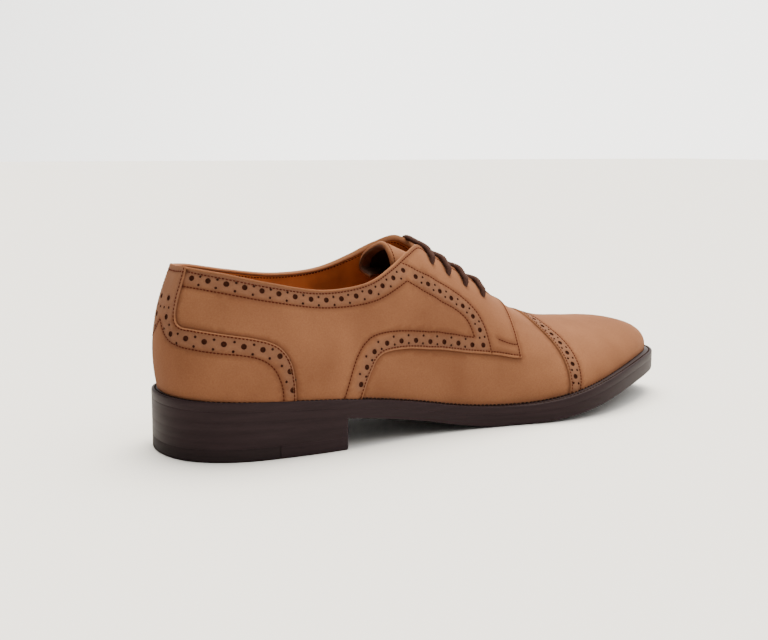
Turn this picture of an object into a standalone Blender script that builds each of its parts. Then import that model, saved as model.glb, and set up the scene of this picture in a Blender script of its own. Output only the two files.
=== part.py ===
"""Tan quarter brogue derby, right foot, standing empty on its sole.

The toe points along +X, the outer (lateral) side of the foot is at -Y and +Z is up. The origin is on the
floor under the middle of the shoe's box. The tables are in millimetres from the back of the heel, on the
foot's centre line at the heel, and the meshes are moved to the origin and to metres as they are made.
"""

import math

import bmesh
import bpy
import numpy as np
from mathutils import Vector

MM = 0.001

# Driving sizes of the last and sole
LENGTH = 305.0
TOE_SWING = 11.2
WALL = 2.0
GAP = 0.3
WELT_THICK = 4.2
WELT_STRIP = 13.0
HEEL_BREAST = 79.0
TOP_PIECE = 6.0
INSOLE_THICK = 2.6

# Overlays: height above the upper's own face
CAP_RISE = 1.5
COUNTER_RISE = 1.6
QUARTER_RISE = 1.4
PATCH_FOOT = 0.012
PATCH_GAP = 0.6

# Sole and heel
EDGE_ROUND = 0.8
INSOLE_INSET = 8.4
HEEL_CORNER = 1.5
HEEL_POINTS = 24
TOP_PIECE_JOINT = 44.0

# Lace and its holes, which are placed by (station, v) on the upper
LACE_DIAMETER = 2.4
EYELET_RADIUS = 1.9
PUNCH_REACH = 6.0
EYELETS = [(0.465, 0.874), (0.492, 0.856), (0.522, 0.838), (0.556, 0.830)]

# Grid sizes of the faceted forms
UPPER_COLUMNS, UPPER_ROWS = 40, 9
CAP_COLUMNS, CAP_ROWS = 12, 9
COUNTER_PITCH, COUNTER_ROWS = 7.5, 7
QUARTER_PITCH, QUARTER_ROWS = 10.0, 9
SIDE_HEIGHT = 70.0
TONGUE_ROWS, TONGUE_COLUMNS = 14, 21
SOLE_COLUMNS = 39

# Outline of the sole: half widths each side of the foot's centre line, which swings inwards to the toe
SOLE = [
    # x, lateral, medial, feather inset
    (0.0, 0.0, 0.0, 4.6),
    (9.0, 25.0, 26.0, 4.4),
    (24.5, 34.8, 33.2, 3.6),
    (46.0, 38.8, 36.8, 3.0),
    (76.0, 40.0, 36.6, 3.0),
    (100.5, 37.9, 34.6, 3.0),
    (128.0, 37.0, 32.2, 3.2),
    (152.5, 39.0, 33.0, 3.5),
    (177.0, 43.5, 39.2, 4.0),
    (198.0, 48.7, 46.2, 4.5),
    (219.5, 50.1, 50.2, 5.0),
    (244.0, 45.1, 49.5, 5.2),
    (268.5, 35.1, 40.3, 5.3),
    (286.5, 25.3, 28.8, 5.4),
    (299.0, 15.1, 16.8, 5.5),
    (305.0, 0.0, 0.0, 5.5),
]

# Side view of the sole: the welt's top and the outsole's tread
RISE = [
    # x, welt top, tread
    (0.0, 28.2, 19.1),
    (40.0, 26.6, 17.6),
    (78.0, 23.9, 14.9),
    (100.0, 20.9, 11.6),
    (122.0, 17.1, 7.7),
    (145.0, 12.8, 2.9),
    (158.0, 11.2, 0.9),
    (168.0, 10.5, 0.0),
    (188.0, 10.6, 0.0),
    (202.0, 12.0, 1.2),
    (229.0, 16.7, 5.3),
    (252.0, 20.7, 9.3),
    (274.0, 23.3, 11.9),
    (305.0, 24.2, 13.6),
]

# The last: how each section rises from the feather line at x to its top edge. Angles are in degrees,
# flare from upright at the foot of the section and roof from level at its top edge.
LAST = [
    # x, top x, half gap, top lateral, top medial, flare, low, roof, high
    (0.0, 11.5, 0.0, 85.8, 85.8, 11.0, 24.0, 68.0, 20.0),
    (9.0, 14.5, 11.5, 85.7, 85.7, 11.0, 22.0, 70.0, 19.0),
    (24.5, 24.5, 22.0, 83.8, 84.2, 10.0, 19.0, 74.0, 18.0),
    (46.0, 45.0, 26.8, 78.9, 80.4, 9.0, 18.0, 77.0, 17.0),
    (76.0, 75.0, 27.5, 74.0, 76.8, 8.0, 17.0, 76.0, 16.0),
    (100.0, 99.0, 26.0, 76.8, 79.0, 6.0, 18.0, 71.0, 18.0),
    (116.0, 113.0, 21.5, 82.8, 84.6, 4.0, 20.0, 60.0, 21.0),
    (128.0, 125.0, 15.5, 88.3, 91.0, 3.0, 22.0, 47.0, 24.0),
    (135.0, 133.5, 10.5, 90.8, 94.2, 3.0, 23.0, 36.0, 25.0),
    (141.0, 139.5, 8.0, 88.0, 92.0, 3.0, 23.0, 28.0, 26.0),
    (152.0, 151.0, 8.0, 81.5, 84.0, 3.0, 22.0, 26.0, 26.0),
    (168.0, 167.0, 7.5, 72.6, 74.0, 4.0, 20.0, 24.0, 26.0),
    (184.0, 183.0, 5.0, 62.6, 62.9, 5.0, 18.0, 18.0, 26.0),
    (190.0, 189.0, 0.0, 59.8, 59.8, 5.5, 16.5, 0.0, 25.0),
    (202.0, 201.5, 0.0, 53.6, 53.6, 6.0, 15.0, 0.0, 23.0),
    (220.0, 218.5, 0.0, 48.2, 48.2, 7.0, 13.5, 0.0, 22.0),
    (244.0, 241.0, 0.0, 45.7, 45.7, 9.0, 12.0, 0.0, 21.0),
    (268.0, 257.0, 0.0, 44.6, 44.6, 11.0, 11.5, 0.0, 19.0),
    (287.0, 266.0, 0.0, 43.6, 43.6, 11.0, 11.0, 0.0, 17.0),
    (299.0, 271.0, 0.0, 42.8, 42.8, 11.0, 10.5, 0.0, 15.0),
    (305.0, 273.0, 0.0, 42.4, 42.4, 11.0, 10.5, 0.0, 15.0),
]
THROAT_END = 190.0
FACING_TOP = 141.0

# Edges of the overlays on the upper, by station along the sole's edge (0 heel, 1 toe) and height v
CAP_EDGE = [
    # v, station
    (0.0, 0.665),
    (0.30, 0.669),
    (0.50, 0.666),
    (0.70, 0.656),
    (1.0, 0.652),
]
COUNTER_FOOT = [
    # share, station, v
    (0.0, 0.0, 0.0),
    (0.35, 0.07, 0.0),
    (0.85, 0.2105, 0.0),
    (1.0, 0.2105, 0.0),
]
COUNTER_EDGE = [
    (0.0, 0.0, 1.0),
    (0.15, 0.064, 1.0),
    (0.30, 0.048, 0.62),
    (0.35, 0.052, 0.55),
    (0.42, 0.066, 0.525),
    (0.70, 0.150, 0.515),
    (0.80, 0.180, 0.490),
    (0.90, 0.198, 0.420),
    (1.0, 0.208, 0.310),
]
QUARTER_LOWER = [
    # share, station, v
    (0.0, 0.068, 1.0),
    (0.10, 0.0525, 0.64),
    (0.13, 0.0575, 0.57),
    (0.16, 0.069, 0.55),
    (0.24, 0.152, 0.535),
    (0.28, 0.182, 0.510),
    (0.31, 0.201, 0.435),
    (0.34, 0.2115, 0.320),
    (0.38, 0.2135, 0.0),
    (0.46, 0.3095, 0.0),
    (0.49, 0.3150, 0.130),
    (0.515, 0.3235, 0.245),
    (0.54, 0.3350, 0.340),
    (0.565, 0.3500, 0.395),
    (0.59, 0.3680, 0.412),
    (0.62, 0.3880, 0.405),
    (0.67, 0.4100, 0.378),
    (0.72, 0.4330, 0.355),
    (0.77, 0.4620, 0.343),
    (0.82, 0.4950, 0.347),
    (0.90, 0.5450, 0.375),
    (1.0, 0.5895, 0.403),
]
QUARTER_UPPER = [
    (0.0, 0.068, 1.0),
    (0.10, 0.090, 1.0),
    (0.24, 0.155, 1.0),
    (0.38, 0.240, 1.0),
    (0.46, 0.310, 1.0),
    (0.62, 0.3905, 1.0),
    (0.67, 0.4286, 1.0),
    (0.72, 0.4488, 1.0),
    (0.77, 0.4661, 1.0),
    (0.82, 0.4979, 1.0),
    (0.90, 0.5448, 1.0),
    (0.97, 0.5927, 1.0),
    (1.0, 0.607, 1.0),
]

# The tongue: a curved strip under the lacing that stands up behind it as an arch
TONGUE = [
    # x, ridge height, half width, drop at the edges, rise to the inner side
    (117.0, 94.0, 17.0, 12.5, 2.5),
    (125.0, 91.0, 17.0, 12.5, 2.5),
    (134.0, 87.3, 16.8, 12.5, 2.5),
    (142.0, 83.0, 16.5, 12.3, 2.5),
    (151.0, 77.8, 16.0, 12.0, 2.2),
    (167.0, 68.3, 15.0, 11.0, 1.2),
    (184.0, 58.8, 13.0, 7.0, 0.3),
    (191.0, 56.2, 12.0, 4.5, 0.0),
    (199.0, 52.0, 11.0, 3.5, 0.0),
]
TONGUE_ROUND = 2.2
# Section of its free end, rolled in at the inner side, as (distance from the centre line, height)
TONGUE_END = [(-16.6, 78.5), (-15.9, 84.5), (-13.1, 89.6), (-8.5, 93.2), (-3.1, 93.7), (2.4, 92.2),
              (9.2, 89.5), (15.4, 85.6), (18.6, 79.7), (16.1, 75.5), (7.0, 73.2)]
TONGUE_ROLL = 0.55
TONGUE_THICK = 2.2

LATERAL = -1
MEDIAL = 1


def cubic(knots, values, slopes, where):
    """The cubic through the knots with the given slopes, at where."""
    where = np.asarray(where, float)
    i = np.clip(np.searchsorted(knots, where, side="right") - 1, 0, len(knots) - 2)
    step = knots[i + 1] - knots[i]
    t = (where - knots[i]) / step
    rise = values[i + 1] - values[i]
    bend = (slopes[i] * step - rise) * (1 - t) + (rise - slopes[i + 1] * step) * t
    return values[i] + t * rise + t * (1 - t) * bend


def closed_slopes(knots, values):
    """Slopes of the smooth closed curve through values, whose last entry repeats its first."""
    step = np.diff(knots)
    count = len(step)
    matrix = np.zeros((count, count))
    right = np.zeros(count)
    for i in range(count):
        before, after = step[i - 1], step[i]
        matrix[i, i - 1] += 1 / before
        matrix[i, i] += 2 * (1 / before + 1 / after)
        matrix[i, (i + 1) % count] += 1 / after
        rise_before = (values[i] - values[(i - 1) % count]) / before**2
        rise_after = (values[(i + 1) % count] - values[i]) / after**2
        right[i] = 3 * (rise_before + rise_after)
    slopes = np.linalg.solve(matrix, right)
    return np.append(slopes, slopes[0])


def centre(x):
    return TOE_SWING * (np.asarray(x, float) / LENGTH) ** 2


class Outline:
    """The sole's closed outline, read by side and by station: 0 at the heel, 1 at the toe."""

    def __init__(self):
        x, lateral, medial, inset = np.array(SOLE).T
        half = (lateral + medial) / 2
        reach = np.append(0.0, np.cumsum(np.hypot(np.diff(x), np.diff(half))))
        self.stations = reach / reach[-1]
        self.reach = reach[-1]
        self.inset = inset
        self.knots = np.concatenate([self.stations, 2 - self.stations[-2::-1]])
        ring_x = np.concatenate([x, x[-2::-1]])
        ring_y = np.concatenate([centre(x) - lateral, (centre(x) + medial)[-2::-1]])
        self.x = (ring_x, closed_slopes(self.knots, ring_x[:-1]))
        self.y = (ring_y, closed_slopes(self.knots, ring_y[:-1]))

    def point(self, side, station):
        """Plan position on the sole's edge."""
        around = np.asarray(station, float) if side == LATERAL else 2 - np.asarray(station, float)
        return np.stack([cubic(self.knots, *self.x, around), cubic(self.knots, *self.y, around)], -1)

    def normal(self, side, station):
        """Plan direction square to the edge, pointing out."""
        tiny = 1e-4
        near = np.clip(np.asarray(station, float) - tiny, 0, 1)
        far = np.clip(np.asarray(station, float) + tiny, 0, 1)
        along = self.point(side, far) - self.point(side, near)
        out = np.stack([-along[..., 1], along[..., 0]], -1) * side
        out[..., 1] = np.where(near == 0, 0, np.where(far == 1, 0, out[..., 1]))
        return out / np.linalg.norm(out, axis=-1, keepdims=True)

    def station(self, x):
        """The station whose mean edge lies at x."""
        fine = np.linspace(0, 1, 2001)
        return np.interp(x, cubic(self.knots, *self.x, fine), fine)


OUTLINE = Outline()


def spaced(count, ends=0.45):
    """Stations from 0 to 1, closer together at the heel and the toe."""
    t = np.linspace(0, 1, count)
    return t - ends * np.sin(2 * np.pi * t) / (2 * np.pi)


SOLE_STATIONS = spaced(SOLE_COLUMNS)


def box_middle():
    """Plan middle of the sole's box on the floor, which is the part's origin."""
    edge = np.concatenate([OUTLINE.point(side, SOLE_STATIONS) for side in (LATERAL, MEDIAL)])
    return np.append((edge.min(axis=0) + edge.max(axis=0)) / 2, 0.0)


ORIGIN = box_middle()


def column(table, number, x):
    """One column of a side view table, read smoothly at x."""
    rows = np.array(table)
    return cubic(rows[:, 0], rows[:, number], np.gradient(rows[:, number], rows[:, 0]), x)


def welt_top(x):
    return column(RISE, 1, np.clip(x, 0, LENGTH))


def tread(x):
    """Height of the outsole's underside, level at the ball of the foot."""
    x = np.clip(x, 0, LENGTH)
    flat = (x >= 168.0) & (x <= 188.0)
    return np.where(flat, 0.0, np.maximum(column(RISE, 2, x), 0.0))


class Last:
    """The upper's outer face: skin(side, station, v), with v from 0 at the feather line to 1 at the top."""

    def __init__(self):
        table = np.array(LAST)
        self.stations = OUTLINE.station(table[:, 0])
        self.stations[0], self.stations[-1] = 0.0, 1.0
        self.columns = []
        for number in range(1, table.shape[1]):
            values = table[:, number]
            slopes = np.gradient(values, self.stations)
            if number != 2:
                slopes[0] = slopes[-1] = 0.0
            self.columns.append((values, slopes))
        self.closed = round(float(OUTLINE.station(THROAT_END)), 9)
        self.facing = float(OUTLINE.station(FACING_TOP))

    def read(self, number, station):
        return cubic(self.stations, *self.columns[number], station)

    def top(self, side, station):
        x = self.read(0, station)
        half = np.where(station >= self.closed, 0.0, np.maximum(self.read(1, station), 0.0))
        z = self.read(2 if side == LATERAL else 3, station)
        return np.stack([x, centre(x) + side * half, z], -1)

    def skin(self, side, station, v):
        station = np.asarray(station, float)
        v = np.asarray(v, float)[..., None]
        out = OUTLINE.normal(side, station)
        inset = np.interp(station, OUTLINE.stations, OUTLINE.inset)[..., None]
        edge = OUTLINE.point(side, station) - out * inset
        foot = np.concatenate([edge, (welt_top(edge[..., 0]) + GAP)[..., None]], -1)
        top = self.top(side, station)
        flare, low, roof, high = (self.read(number, station) for number in (4, 5, 6, 7))
        flare, roof = np.radians(flare), np.radians(np.maximum(roof, 0.0))
        ahead = self.top(side, np.clip(station + 1e-3, 0, 1))
        behind = self.top(side, np.clip(station - 1e-3, 0, 1))
        ridge = (ahead[..., 2] - behind[..., 2]) / np.maximum(ahead[..., 0] - behind[..., 0], 1e-6)
        share = np.clip((station - self.facing) / (self.closed - self.facing), 0, 1)
        ridge = ridge * share**2 * (3 - 2 * share)
        first = foot.copy()
        first[..., :2] += out * (low * np.sin(flare))[..., None]
        first[..., 2] += low * np.cos(flare)
        second = top.copy()
        second[..., :2] += out * (high * np.cos(roof))[..., None]
        second[..., 2] += high * (np.cos(roof) * out[..., 0] * ridge - np.sin(roof))
        u = 1 - v
        return u**3 * foot + 3 * u * u * v * first + 3 * u * v * v * second + v**3 * top

    def normal(self, side, station, v):
        tiny = 1e-3
        v = np.where(station >= self.closed, np.minimum(v, 0.985), v)
        near, far = np.clip(station - tiny, 0, 1), np.clip(station + tiny, 0, 1)
        low, high = np.clip(v - tiny, 0, 1), np.clip(v + tiny, 0, 1)
        along = self.skin(side, far, v) - self.skin(side, near, v)
        up = self.skin(side, station, high) - self.skin(side, station, low)
        out = np.cross(along, up) * -side
        return out / np.linalg.norm(out, axis=-1, keepdims=True)

    def offset(self, side, station, v, rise):
        """A point that stands rise above the skin. Where both sides meet, their normals are averaged."""
        station, v = np.asarray(station, float), np.asarray(v, float)
        out = self.normal(side, station, v)
        shared = (station <= 0) | (station >= 1) | ((v >= 1) & (station >= self.closed))
        if shared.any():
            both = out + self.normal(-side, station, v)
            both /= np.linalg.norm(both, axis=-1, keepdims=True)
            out = np.where(shared[..., None], both, out)
        return self.skin(side, station, v) + out * np.asarray(rise, float)[..., None]


LAST_FORM = Last()


def material(name, colour, roughness):
    made = bpy.data.materials.new(name)
    made.use_nodes = True
    shader = made.node_tree.nodes["Principled BSDF"]
    shader.inputs["Base Color"].default_value = (*colour, 1.0)
    shader.inputs["Roughness"].default_value = roughness
    return made


def add_object(name, points, faces, finish):
    """A smooth shaded object from points in the shoe's millimetres, its faces turned to point out."""
    mesh = bpy.data.meshes.new(name)
    mesh.from_pydata([tuple(p) for p in (np.asarray(points) - ORIGIN) * MM], [], faces)
    work = bmesh.new()
    work.from_mesh(mesh)
    bmesh.ops.recalc_face_normals(work, faces=work.faces)
    work.to_mesh(mesh)
    work.free()
    mesh.materials.append(finish)
    mesh.shade_smooth()
    mesh.set_sharp_from_angle(angle=math.radians(40))
    made = bpy.data.objects.new(name, mesh)
    bpy.context.collection.objects.link(made)
    return made


def thicken(faces, outer, inner):
    """A closed slab: the sheet's faces on both sides, and a wall along each of its open edges."""
    count = len(outer)
    walls = []
    directed = {(a, b) for face in faces for a, b in zip(face, face[1:] + face[:1])}
    for a, b in sorted(directed):
        if (b, a) not in directed:
            walls.append([b, a, a + count, b + count])
    back = [[corner + count for corner in reversed(face)] for face in faces]
    return np.concatenate([outer, inner]), faces + back + walls


class Sheet:
    """A patch of the upper's face, made from rows of (side, station, v) corners that share their ends."""

    def __init__(self):
        self.corners = []
        self.found = {}
        self.faces = []

    def corner(self, side, station, v):
        shared = station <= 0 or station >= 1 or (v >= 1 and station >= LAST_FORM.closed)
        key = (0 if shared else side, round(station, 7), round(v, 7))
        if key not in self.found:
            self.found[key] = len(self.corners)
            self.corners.append((side, station, v))
        return self.found[key]

    def strip(self, one, two):
        """Faces between two neighbouring lines of corners."""
        one = [self.corner(*c) for c in one]
        two = [self.corner(*c) for c in two]
        for i in range(len(one) - 1):
            face = []
            for index in (one[i], two[i], two[i + 1], one[i + 1]):
                if index not in face:
                    face.append(index)
            if len(face) > 2:
                self.faces.append(face)

    def raised(self, rise):
        """The patch's points, standing rise above the upper's face."""
        points = np.zeros((len(self.corners), 3))
        sides, stations, vs = (np.array(c) for c in zip(*self.corners))
        for side in (LATERAL, MEDIAL):
            chosen = sides == side
            if chosen.any():
                points[chosen] = LAST_FORM.offset(side, stations[chosen], vs[chosen], np.full(chosen.sum(), rise))
        return points

    def slab(self, low, high):
        return thicken(self.faces, self.raised(high), self.raised(low))


def add_upper(finish):
    """One hollow wall over the last, open at the collar, along the throat and underneath."""
    sheet = Sheet()
    heights = np.linspace(0, 1, UPPER_ROWS)
    marks = np.unique(np.append(LAST_FORM.stations, LAST_FORM.closed).round(9))
    runs = []
    for a, b in zip(marks, marks[1:]):
        runs.append(np.linspace(a, b, max(1, round((b - a) * UPPER_COLUMNS)), endpoint=False))
    stations = np.concatenate([*runs, [1.0]])
    for side in (LATERAL, MEDIAL):
        for a, b in zip(stations, stations[1:]):
            ends = (a, b) if side == LATERAL else (b, a)
            sheet.strip(*([(side, station, v) for v in heights] for station in ends))
    return add_object("upper", *sheet.slab(-WALL, 0.0), finish)


def ruled(lower, upper, pitch, rows, bow=0.0):
    """Lines of (station, v) corners between two curves given by (share, station, v) points, one at each
    given point and no more than about pitch apart. The last line bows forwards by bow."""
    corners = sorted({float(row[0]) for row in lower + upper})
    steps = []
    for a, b in zip(corners, corners[1:]):
        reach = []
        for curve in (lower, upper):
            at, station, v = np.array(curve).T
            along = (np.interp(b, at, station) - np.interp(a, at, station)) * OUTLINE.reach
            rise = (np.interp(b, at, v) - np.interp(a, at, v)) * SIDE_HEIGHT
            reach.append(math.hypot(along, rise))
        steps.append(max(1, round(max(reach) / pitch)))
    runs = [np.linspace(a, b, n, endpoint=False) for a, b, n in zip(corners, corners[1:], steps)]
    share = np.concatenate([*runs, [1.0]])
    ends = []
    for curve in (lower, upper):
        at, station, v = np.array(curve).T
        ends.append(np.stack([np.interp(share, at, station), np.interp(share, at, v)], -1))
    lines = []
    for i in range(len(share)):
        rise = np.linspace(0, 1, rows)[:, None]
        line = ends[0][i] * (1 - rise) + ends[1][i] * rise
        line[:, 0] += 4 * bow * share[i] ** 4 * (rise * (1 - rise))[:, 0]
        lines.append(line)
    return lines


def add_patch(name, lines, sides, rise, finish):
    """An overlay of the upper's own form, standing just clear of it."""
    sheet = Sheet()
    for side in sides:
        for one, two in zip(lines, lines[1:]):
            pair = (one, two) if side == LATERAL else (two, one)
            sheet.strip(*([(side, float(s), max(float(v), PATCH_FOOT)) for s, v in line] for line in pair))
    return add_object(name, *sheet.slab(PATCH_GAP, rise), finish)


def add_toe_cap(finish):
    rise = np.linspace(0, 1, CAP_ROWS)
    at, station = np.array(CAP_EDGE).T
    edge = np.interp(rise, at, station)
    ahead = 1 - (1 - np.linspace(0, 1, CAP_COLUMNS)) ** 1.3
    lines = [np.stack([edge + (1 - edge) * share, rise], -1) for share in ahead]
    return add_patch("toe_cap", lines, (LATERAL, MEDIAL), CAP_RISE, finish)


def add_counter(finish):
    lines = ruled(COUNTER_FOOT, COUNTER_EDGE, COUNTER_PITCH, COUNTER_ROWS)
    return add_patch("heel_counter", lines, (LATERAL, MEDIAL), COUNTER_RISE, finish)


def add_quarter(name, side, finish):
    lines = ruled(QUARTER_LOWER, QUARTER_UPPER, QUARTER_PITCH, QUARTER_ROWS, bow=0.006)
    return add_patch(name, lines, (side,), QUARTER_RISE, finish)


def edge_ring(inset, stations):
    """Closed ring of plan points inside the sole's edge by inset: out along the outer side, back inside."""
    rings = []
    for side, chosen in ((LATERAL, stations), (MEDIAL, stations[-2:0:-1])):
        rings.append(OUTLINE.point(side, chosen) - OUTLINE.normal(side, chosen) * inset)
    return np.concatenate(rings)


def with_height(plan, height):
    z = np.full(len(plan), height) if np.isscalar(height) else height(plan[:, 0])
    return np.column_stack([plan, z])


def bands(count, levels, start=0):
    """Quads between neighbouring rings of count points, stored one after the other."""
    faces = []
    for level in range(levels - 1):
        for i in range(count):
            j = (i + 1) % count
            a, b = start + level * count, start + (level + 1) * count
            faces.append([a + i, a + j, b + j, b + i])
    return faces


def across(count, start):
    """Faces that close a ring of count points, from one side of the foot straight to the other."""
    half = count // 2
    faces = [[start, start + 1, start + count - 1]]
    for i in range(1, half - 1):
        faces.append([start + i, start + i + 1, start + count - i - 1, start + count - i])
    faces.append([start + half - 1, start + half, start + half + 1])
    return faces


def add_layer(name, levels, stations, finish):
    """A full layer of the sole, from (inset, height) rings listed from its underside up."""
    rings = [with_height(edge_ring(inset, stations), height) for inset, height in levels]
    count = len(rings[0])
    faces = bands(count, len(rings)) + across(count, 0) + across(count, (len(rings) - 1) * count)
    return add_object(name, np.concatenate(rings), faces, finish)


def add_outsole(finish):
    def top(x):
        return welt_top(x) - WELT_THICK - GAP

    levels = [
        (EDGE_ROUND, tread),
        (0.0, lambda x: tread(x) + EDGE_ROUND),
        (0.0, lambda x: top(x) - EDGE_ROUND / 2),
        (EDGE_ROUND / 2, top),
    ]
    return add_layer("outsole", levels, SOLE_STATIONS, finish)


def add_insole(finish):
    """The insole with its filling bed, which drops into the welt's ring."""
    inner = WELT_STRIP + GAP + 0.2
    outer = INSOLE_INSET
    levels = [
        (inner, lambda x: welt_top(x) - WELT_THICK),
        (inner, lambda x: welt_top(x) + GAP),
        (outer, lambda x: welt_top(x) + GAP),
        (outer + 0.4, lambda x: welt_top(x) + GAP + INSOLE_THICK),
    ]
    return add_layer("insole", levels, SOLE_STATIONS, finish)


def add_welt(finish):
    """The welt: a flat strip all round, with its top edges eased."""
    levels = [
        (WELT_STRIP, lambda x: welt_top(x) - WELT_THICK),
        (0.0, lambda x: welt_top(x) - WELT_THICK),
        (0.0, lambda x: welt_top(x) - EDGE_ROUND),
        (EDGE_ROUND, welt_top),
        (WELT_STRIP, welt_top),
    ]
    rings = [with_height(edge_ring(inset, SOLE_STATIONS), height) for inset, height in levels]
    count = len(rings[0])
    faces = bands(count, len(rings))
    last = (len(rings) - 1) * count
    faces += [[last + i, last + (i + 1) % count, (i + 1) % count, i] for i in range(count)]
    return add_object("welt", np.concatenate(rings), faces, finish)


def heel_plan(start, end):
    """Plan outline of a heel lift between two distances from the back, corners eased at the breast."""
    fine = np.linspace(0, 0.5, 400)
    sides = {}
    for side in (LATERAL, MEDIAL):
        edge = OUTLINE.point(side, fine)
        reach = np.append(0.0, np.cumsum(np.hypot(*np.diff(edge, axis=0).T)))
        last = end - HEEL_CORNER if end >= HEEL_BREAST else end
        count = HEEL_POINTS if start <= 0 else HEEL_POINTS // 3
        at = np.linspace(np.interp(start, edge[:, 0], reach), np.interp(last, edge[:, 0], reach), count)
        run = np.stack([np.interp(at, reach, edge[:, 0]), np.interp(at, reach, edge[:, 1])], -1)
        turned = run[-1] + np.array([HEEL_CORNER, -side * HEEL_CORNER])
        eased = run[-1] + np.array([HEEL_CORNER * 0.7, -side * HEEL_CORNER * 0.3])
        sides[side] = np.concatenate([run, [eased, turned]]) if end >= HEEL_BREAST else run
    lateral, medial = sides[LATERAL], sides[MEDIAL][::-1]
    if start <= 0:
        medial = medial[:-1]
    return np.concatenate([lateral, medial])


def add_lift(name, start, end, bottom, top, finish):
    plan = heel_plan(start, end)
    rings = [with_height(plan, bottom), with_height(plan, top)]
    count = len(plan)
    faces = bands(count, 2) + [list(range(count))[::-1], list(range(count, 2 * count))]
    return add_object(name, np.concatenate(rings), faces, finish)


def tongue_point(t, u):
    """The tongue's face: t from its free end to the vamp, u from edge to edge."""
    table = np.array(TONGUE)
    x = np.interp(t, np.linspace(0, 1, len(table)), table[:, 0])
    ridge, half, drop, lean = (column(TONGUE, number, x) for number in (1, 2, 3, 4))
    y = half * u
    z = ridge + lean * u - drop * np.abs(u) ** TONGUE_ROUND
    free = np.array(TONGUE_END)
    across = np.linspace(-1, 1, len(free))
    rolled = [cubic(across, line, np.gradient(line, across), u) for line in free.T]
    _, ridge, half, drop, lean = TONGUE[0]
    share = (1 - np.clip(t / TONGUE_ROLL, 0, 1)) ** 1.6
    y = y + share * (rolled[0] - half * u)
    z = z + share * (rolled[1] - ridge - lean * u + drop * np.abs(u) ** TONGUE_ROUND)
    return np.stack([x, centre(x) + y, z], -1)


def add_tongue(finish):
    t, u = np.meshgrid(np.linspace(0, 1, TONGUE_ROWS), np.linspace(-1, 1, TONGUE_COLUMNS), indexing="ij")
    tiny = 1e-3
    along = tongue_point(t + tiny, u) - tongue_point(t - tiny, u)
    sideways = tongue_point(t, u + tiny) - tongue_point(t, u - tiny)
    out = np.cross(along, sideways)
    out /= np.linalg.norm(out, axis=-1, keepdims=True)
    outer = tongue_point(t, u).reshape(-1, 3)
    inner = outer - out.reshape(-1, 3) * TONGUE_THICK
    rows, columns = t.shape
    faces = []
    for i in range(rows - 1):
        for j in range(columns - 1):
            a = i * columns + j
            faces.append([a, a + columns, a + columns + 1, a + 1])
    return add_object("tongue", *thicken(faces, outer, inner), finish)


def eyelet(side, number, rise):
    station, v = EYELETS[number]
    return LAST_FORM.offset(side, np.array([station]), np.array([v]), np.array([rise]))[0]


def cut_eyelets(side, pieces):
    """Punch the lace holes of one side through the given pieces."""
    work = bmesh.new()
    for number in range(len(EYELETS)):
        foot, head = eyelet(side, number, -PUNCH_REACH), eyelet(side, number, PUNCH_REACH)
        turn = Vector(head - foot).to_track_quat("Z", "Y").to_matrix().to_4x4()
        turn.translation = Vector(((head + foot) / 2 - ORIGIN) * MM)
        bmesh.ops.create_cone(work, cap_ends=True, segments=12, radius1=EYELET_RADIUS * MM,
                              radius2=EYELET_RADIUS * MM, depth=2 * PUNCH_REACH * MM, matrix=turn)
    mesh = bpy.data.meshes.new("eyelet_punch")
    work.to_mesh(mesh)
    work.free()
    punch = bpy.data.objects.new("eyelet_punch", mesh)
    bpy.context.collection.objects.link(punch)
    punch.hide_render = True
    punch.display_type = "WIRE"
    for piece in pieces:
        cut = piece.modifiers.new("eyelets", "BOOLEAN")
        cut.operation = "DIFFERENCE"
        cut.object = punch
        cut.solver = "EXACT"


def lace_route():
    """The lace's centre line: straight bars outside, and one run between holes under each facing."""
    over = QUARTER_RISE + GAP + LACE_DIAMETER / 2 + 0.1
    under = -(WALL + GAP + LACE_DIAMETER / 2 + 0.1)
    route = []

    def on_face(side, number, rise, share):
        """A point share of the way from the hole up to the facing's edge."""
        station, v = EYELETS[number]
        height = v + (1 - v) * share
        return LAST_FORM.offset(side, np.array([station]), np.array([height]), np.array([rise]))[0]

    def bar(number, side):
        start = [on_face(side, number, over, share) for share in (0.3, 1.0)]
        end = [on_face(-side, number, over, share) for share in (1.0, 0.3)]
        middle = (start[-1] + end[0]) / 2 + np.array([0.0, 0.0, 0.4])
        return start + [middle] + end

    def through(number, side, down):
        levels = [over - 0.6, -0.3, under + 0.5]
        drop = [eyelet(side, number, rise) for rise in levels]
        return drop if down else drop[::-1]

    side = LATERAL
    for number in range(len(EYELETS)):
        route += through(number, side, down=False)
        route += bar(number, side)
        side = -side
        route += through(number, side, down=True)
        if number + 1 < len(EYELETS):
            ahead, back = EYELETS[number + 1], EYELETS[number]
            for share in (0.25, 0.5, 0.75):
                station = back[0] * (1 - share) + ahead[0] * share
                v = back[1] * (1 - share) + ahead[1] * share
                route.append(LAST_FORM.offset(side, np.array([station]), np.array([v]), np.array([under]))[0])
    return np.array(route)


def add_lace(finish):
    route = lace_route()
    curve = bpy.data.curves.new("lace", "CURVE")
    curve.dimensions = "3D"
    curve.bevel_depth = LACE_DIAMETER / 2 * MM
    curve.bevel_resolution = 2
    curve.use_fill_caps = True
    spline = curve.splines.new("POLY")
    spline.points.add(len(route) - 1)
    for point, place in zip(spline.points, route):
        point.co = (*((place - ORIGIN) * MM), 1.0)
    curve.materials.append(finish)
    made = bpy.data.objects.new("lace", curve)
    bpy.context.collection.objects.link(made)
    return made


def clear_scene():
    for old in list(bpy.data.objects):
        bpy.data.objects.remove(old, do_unlink=True)


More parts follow.
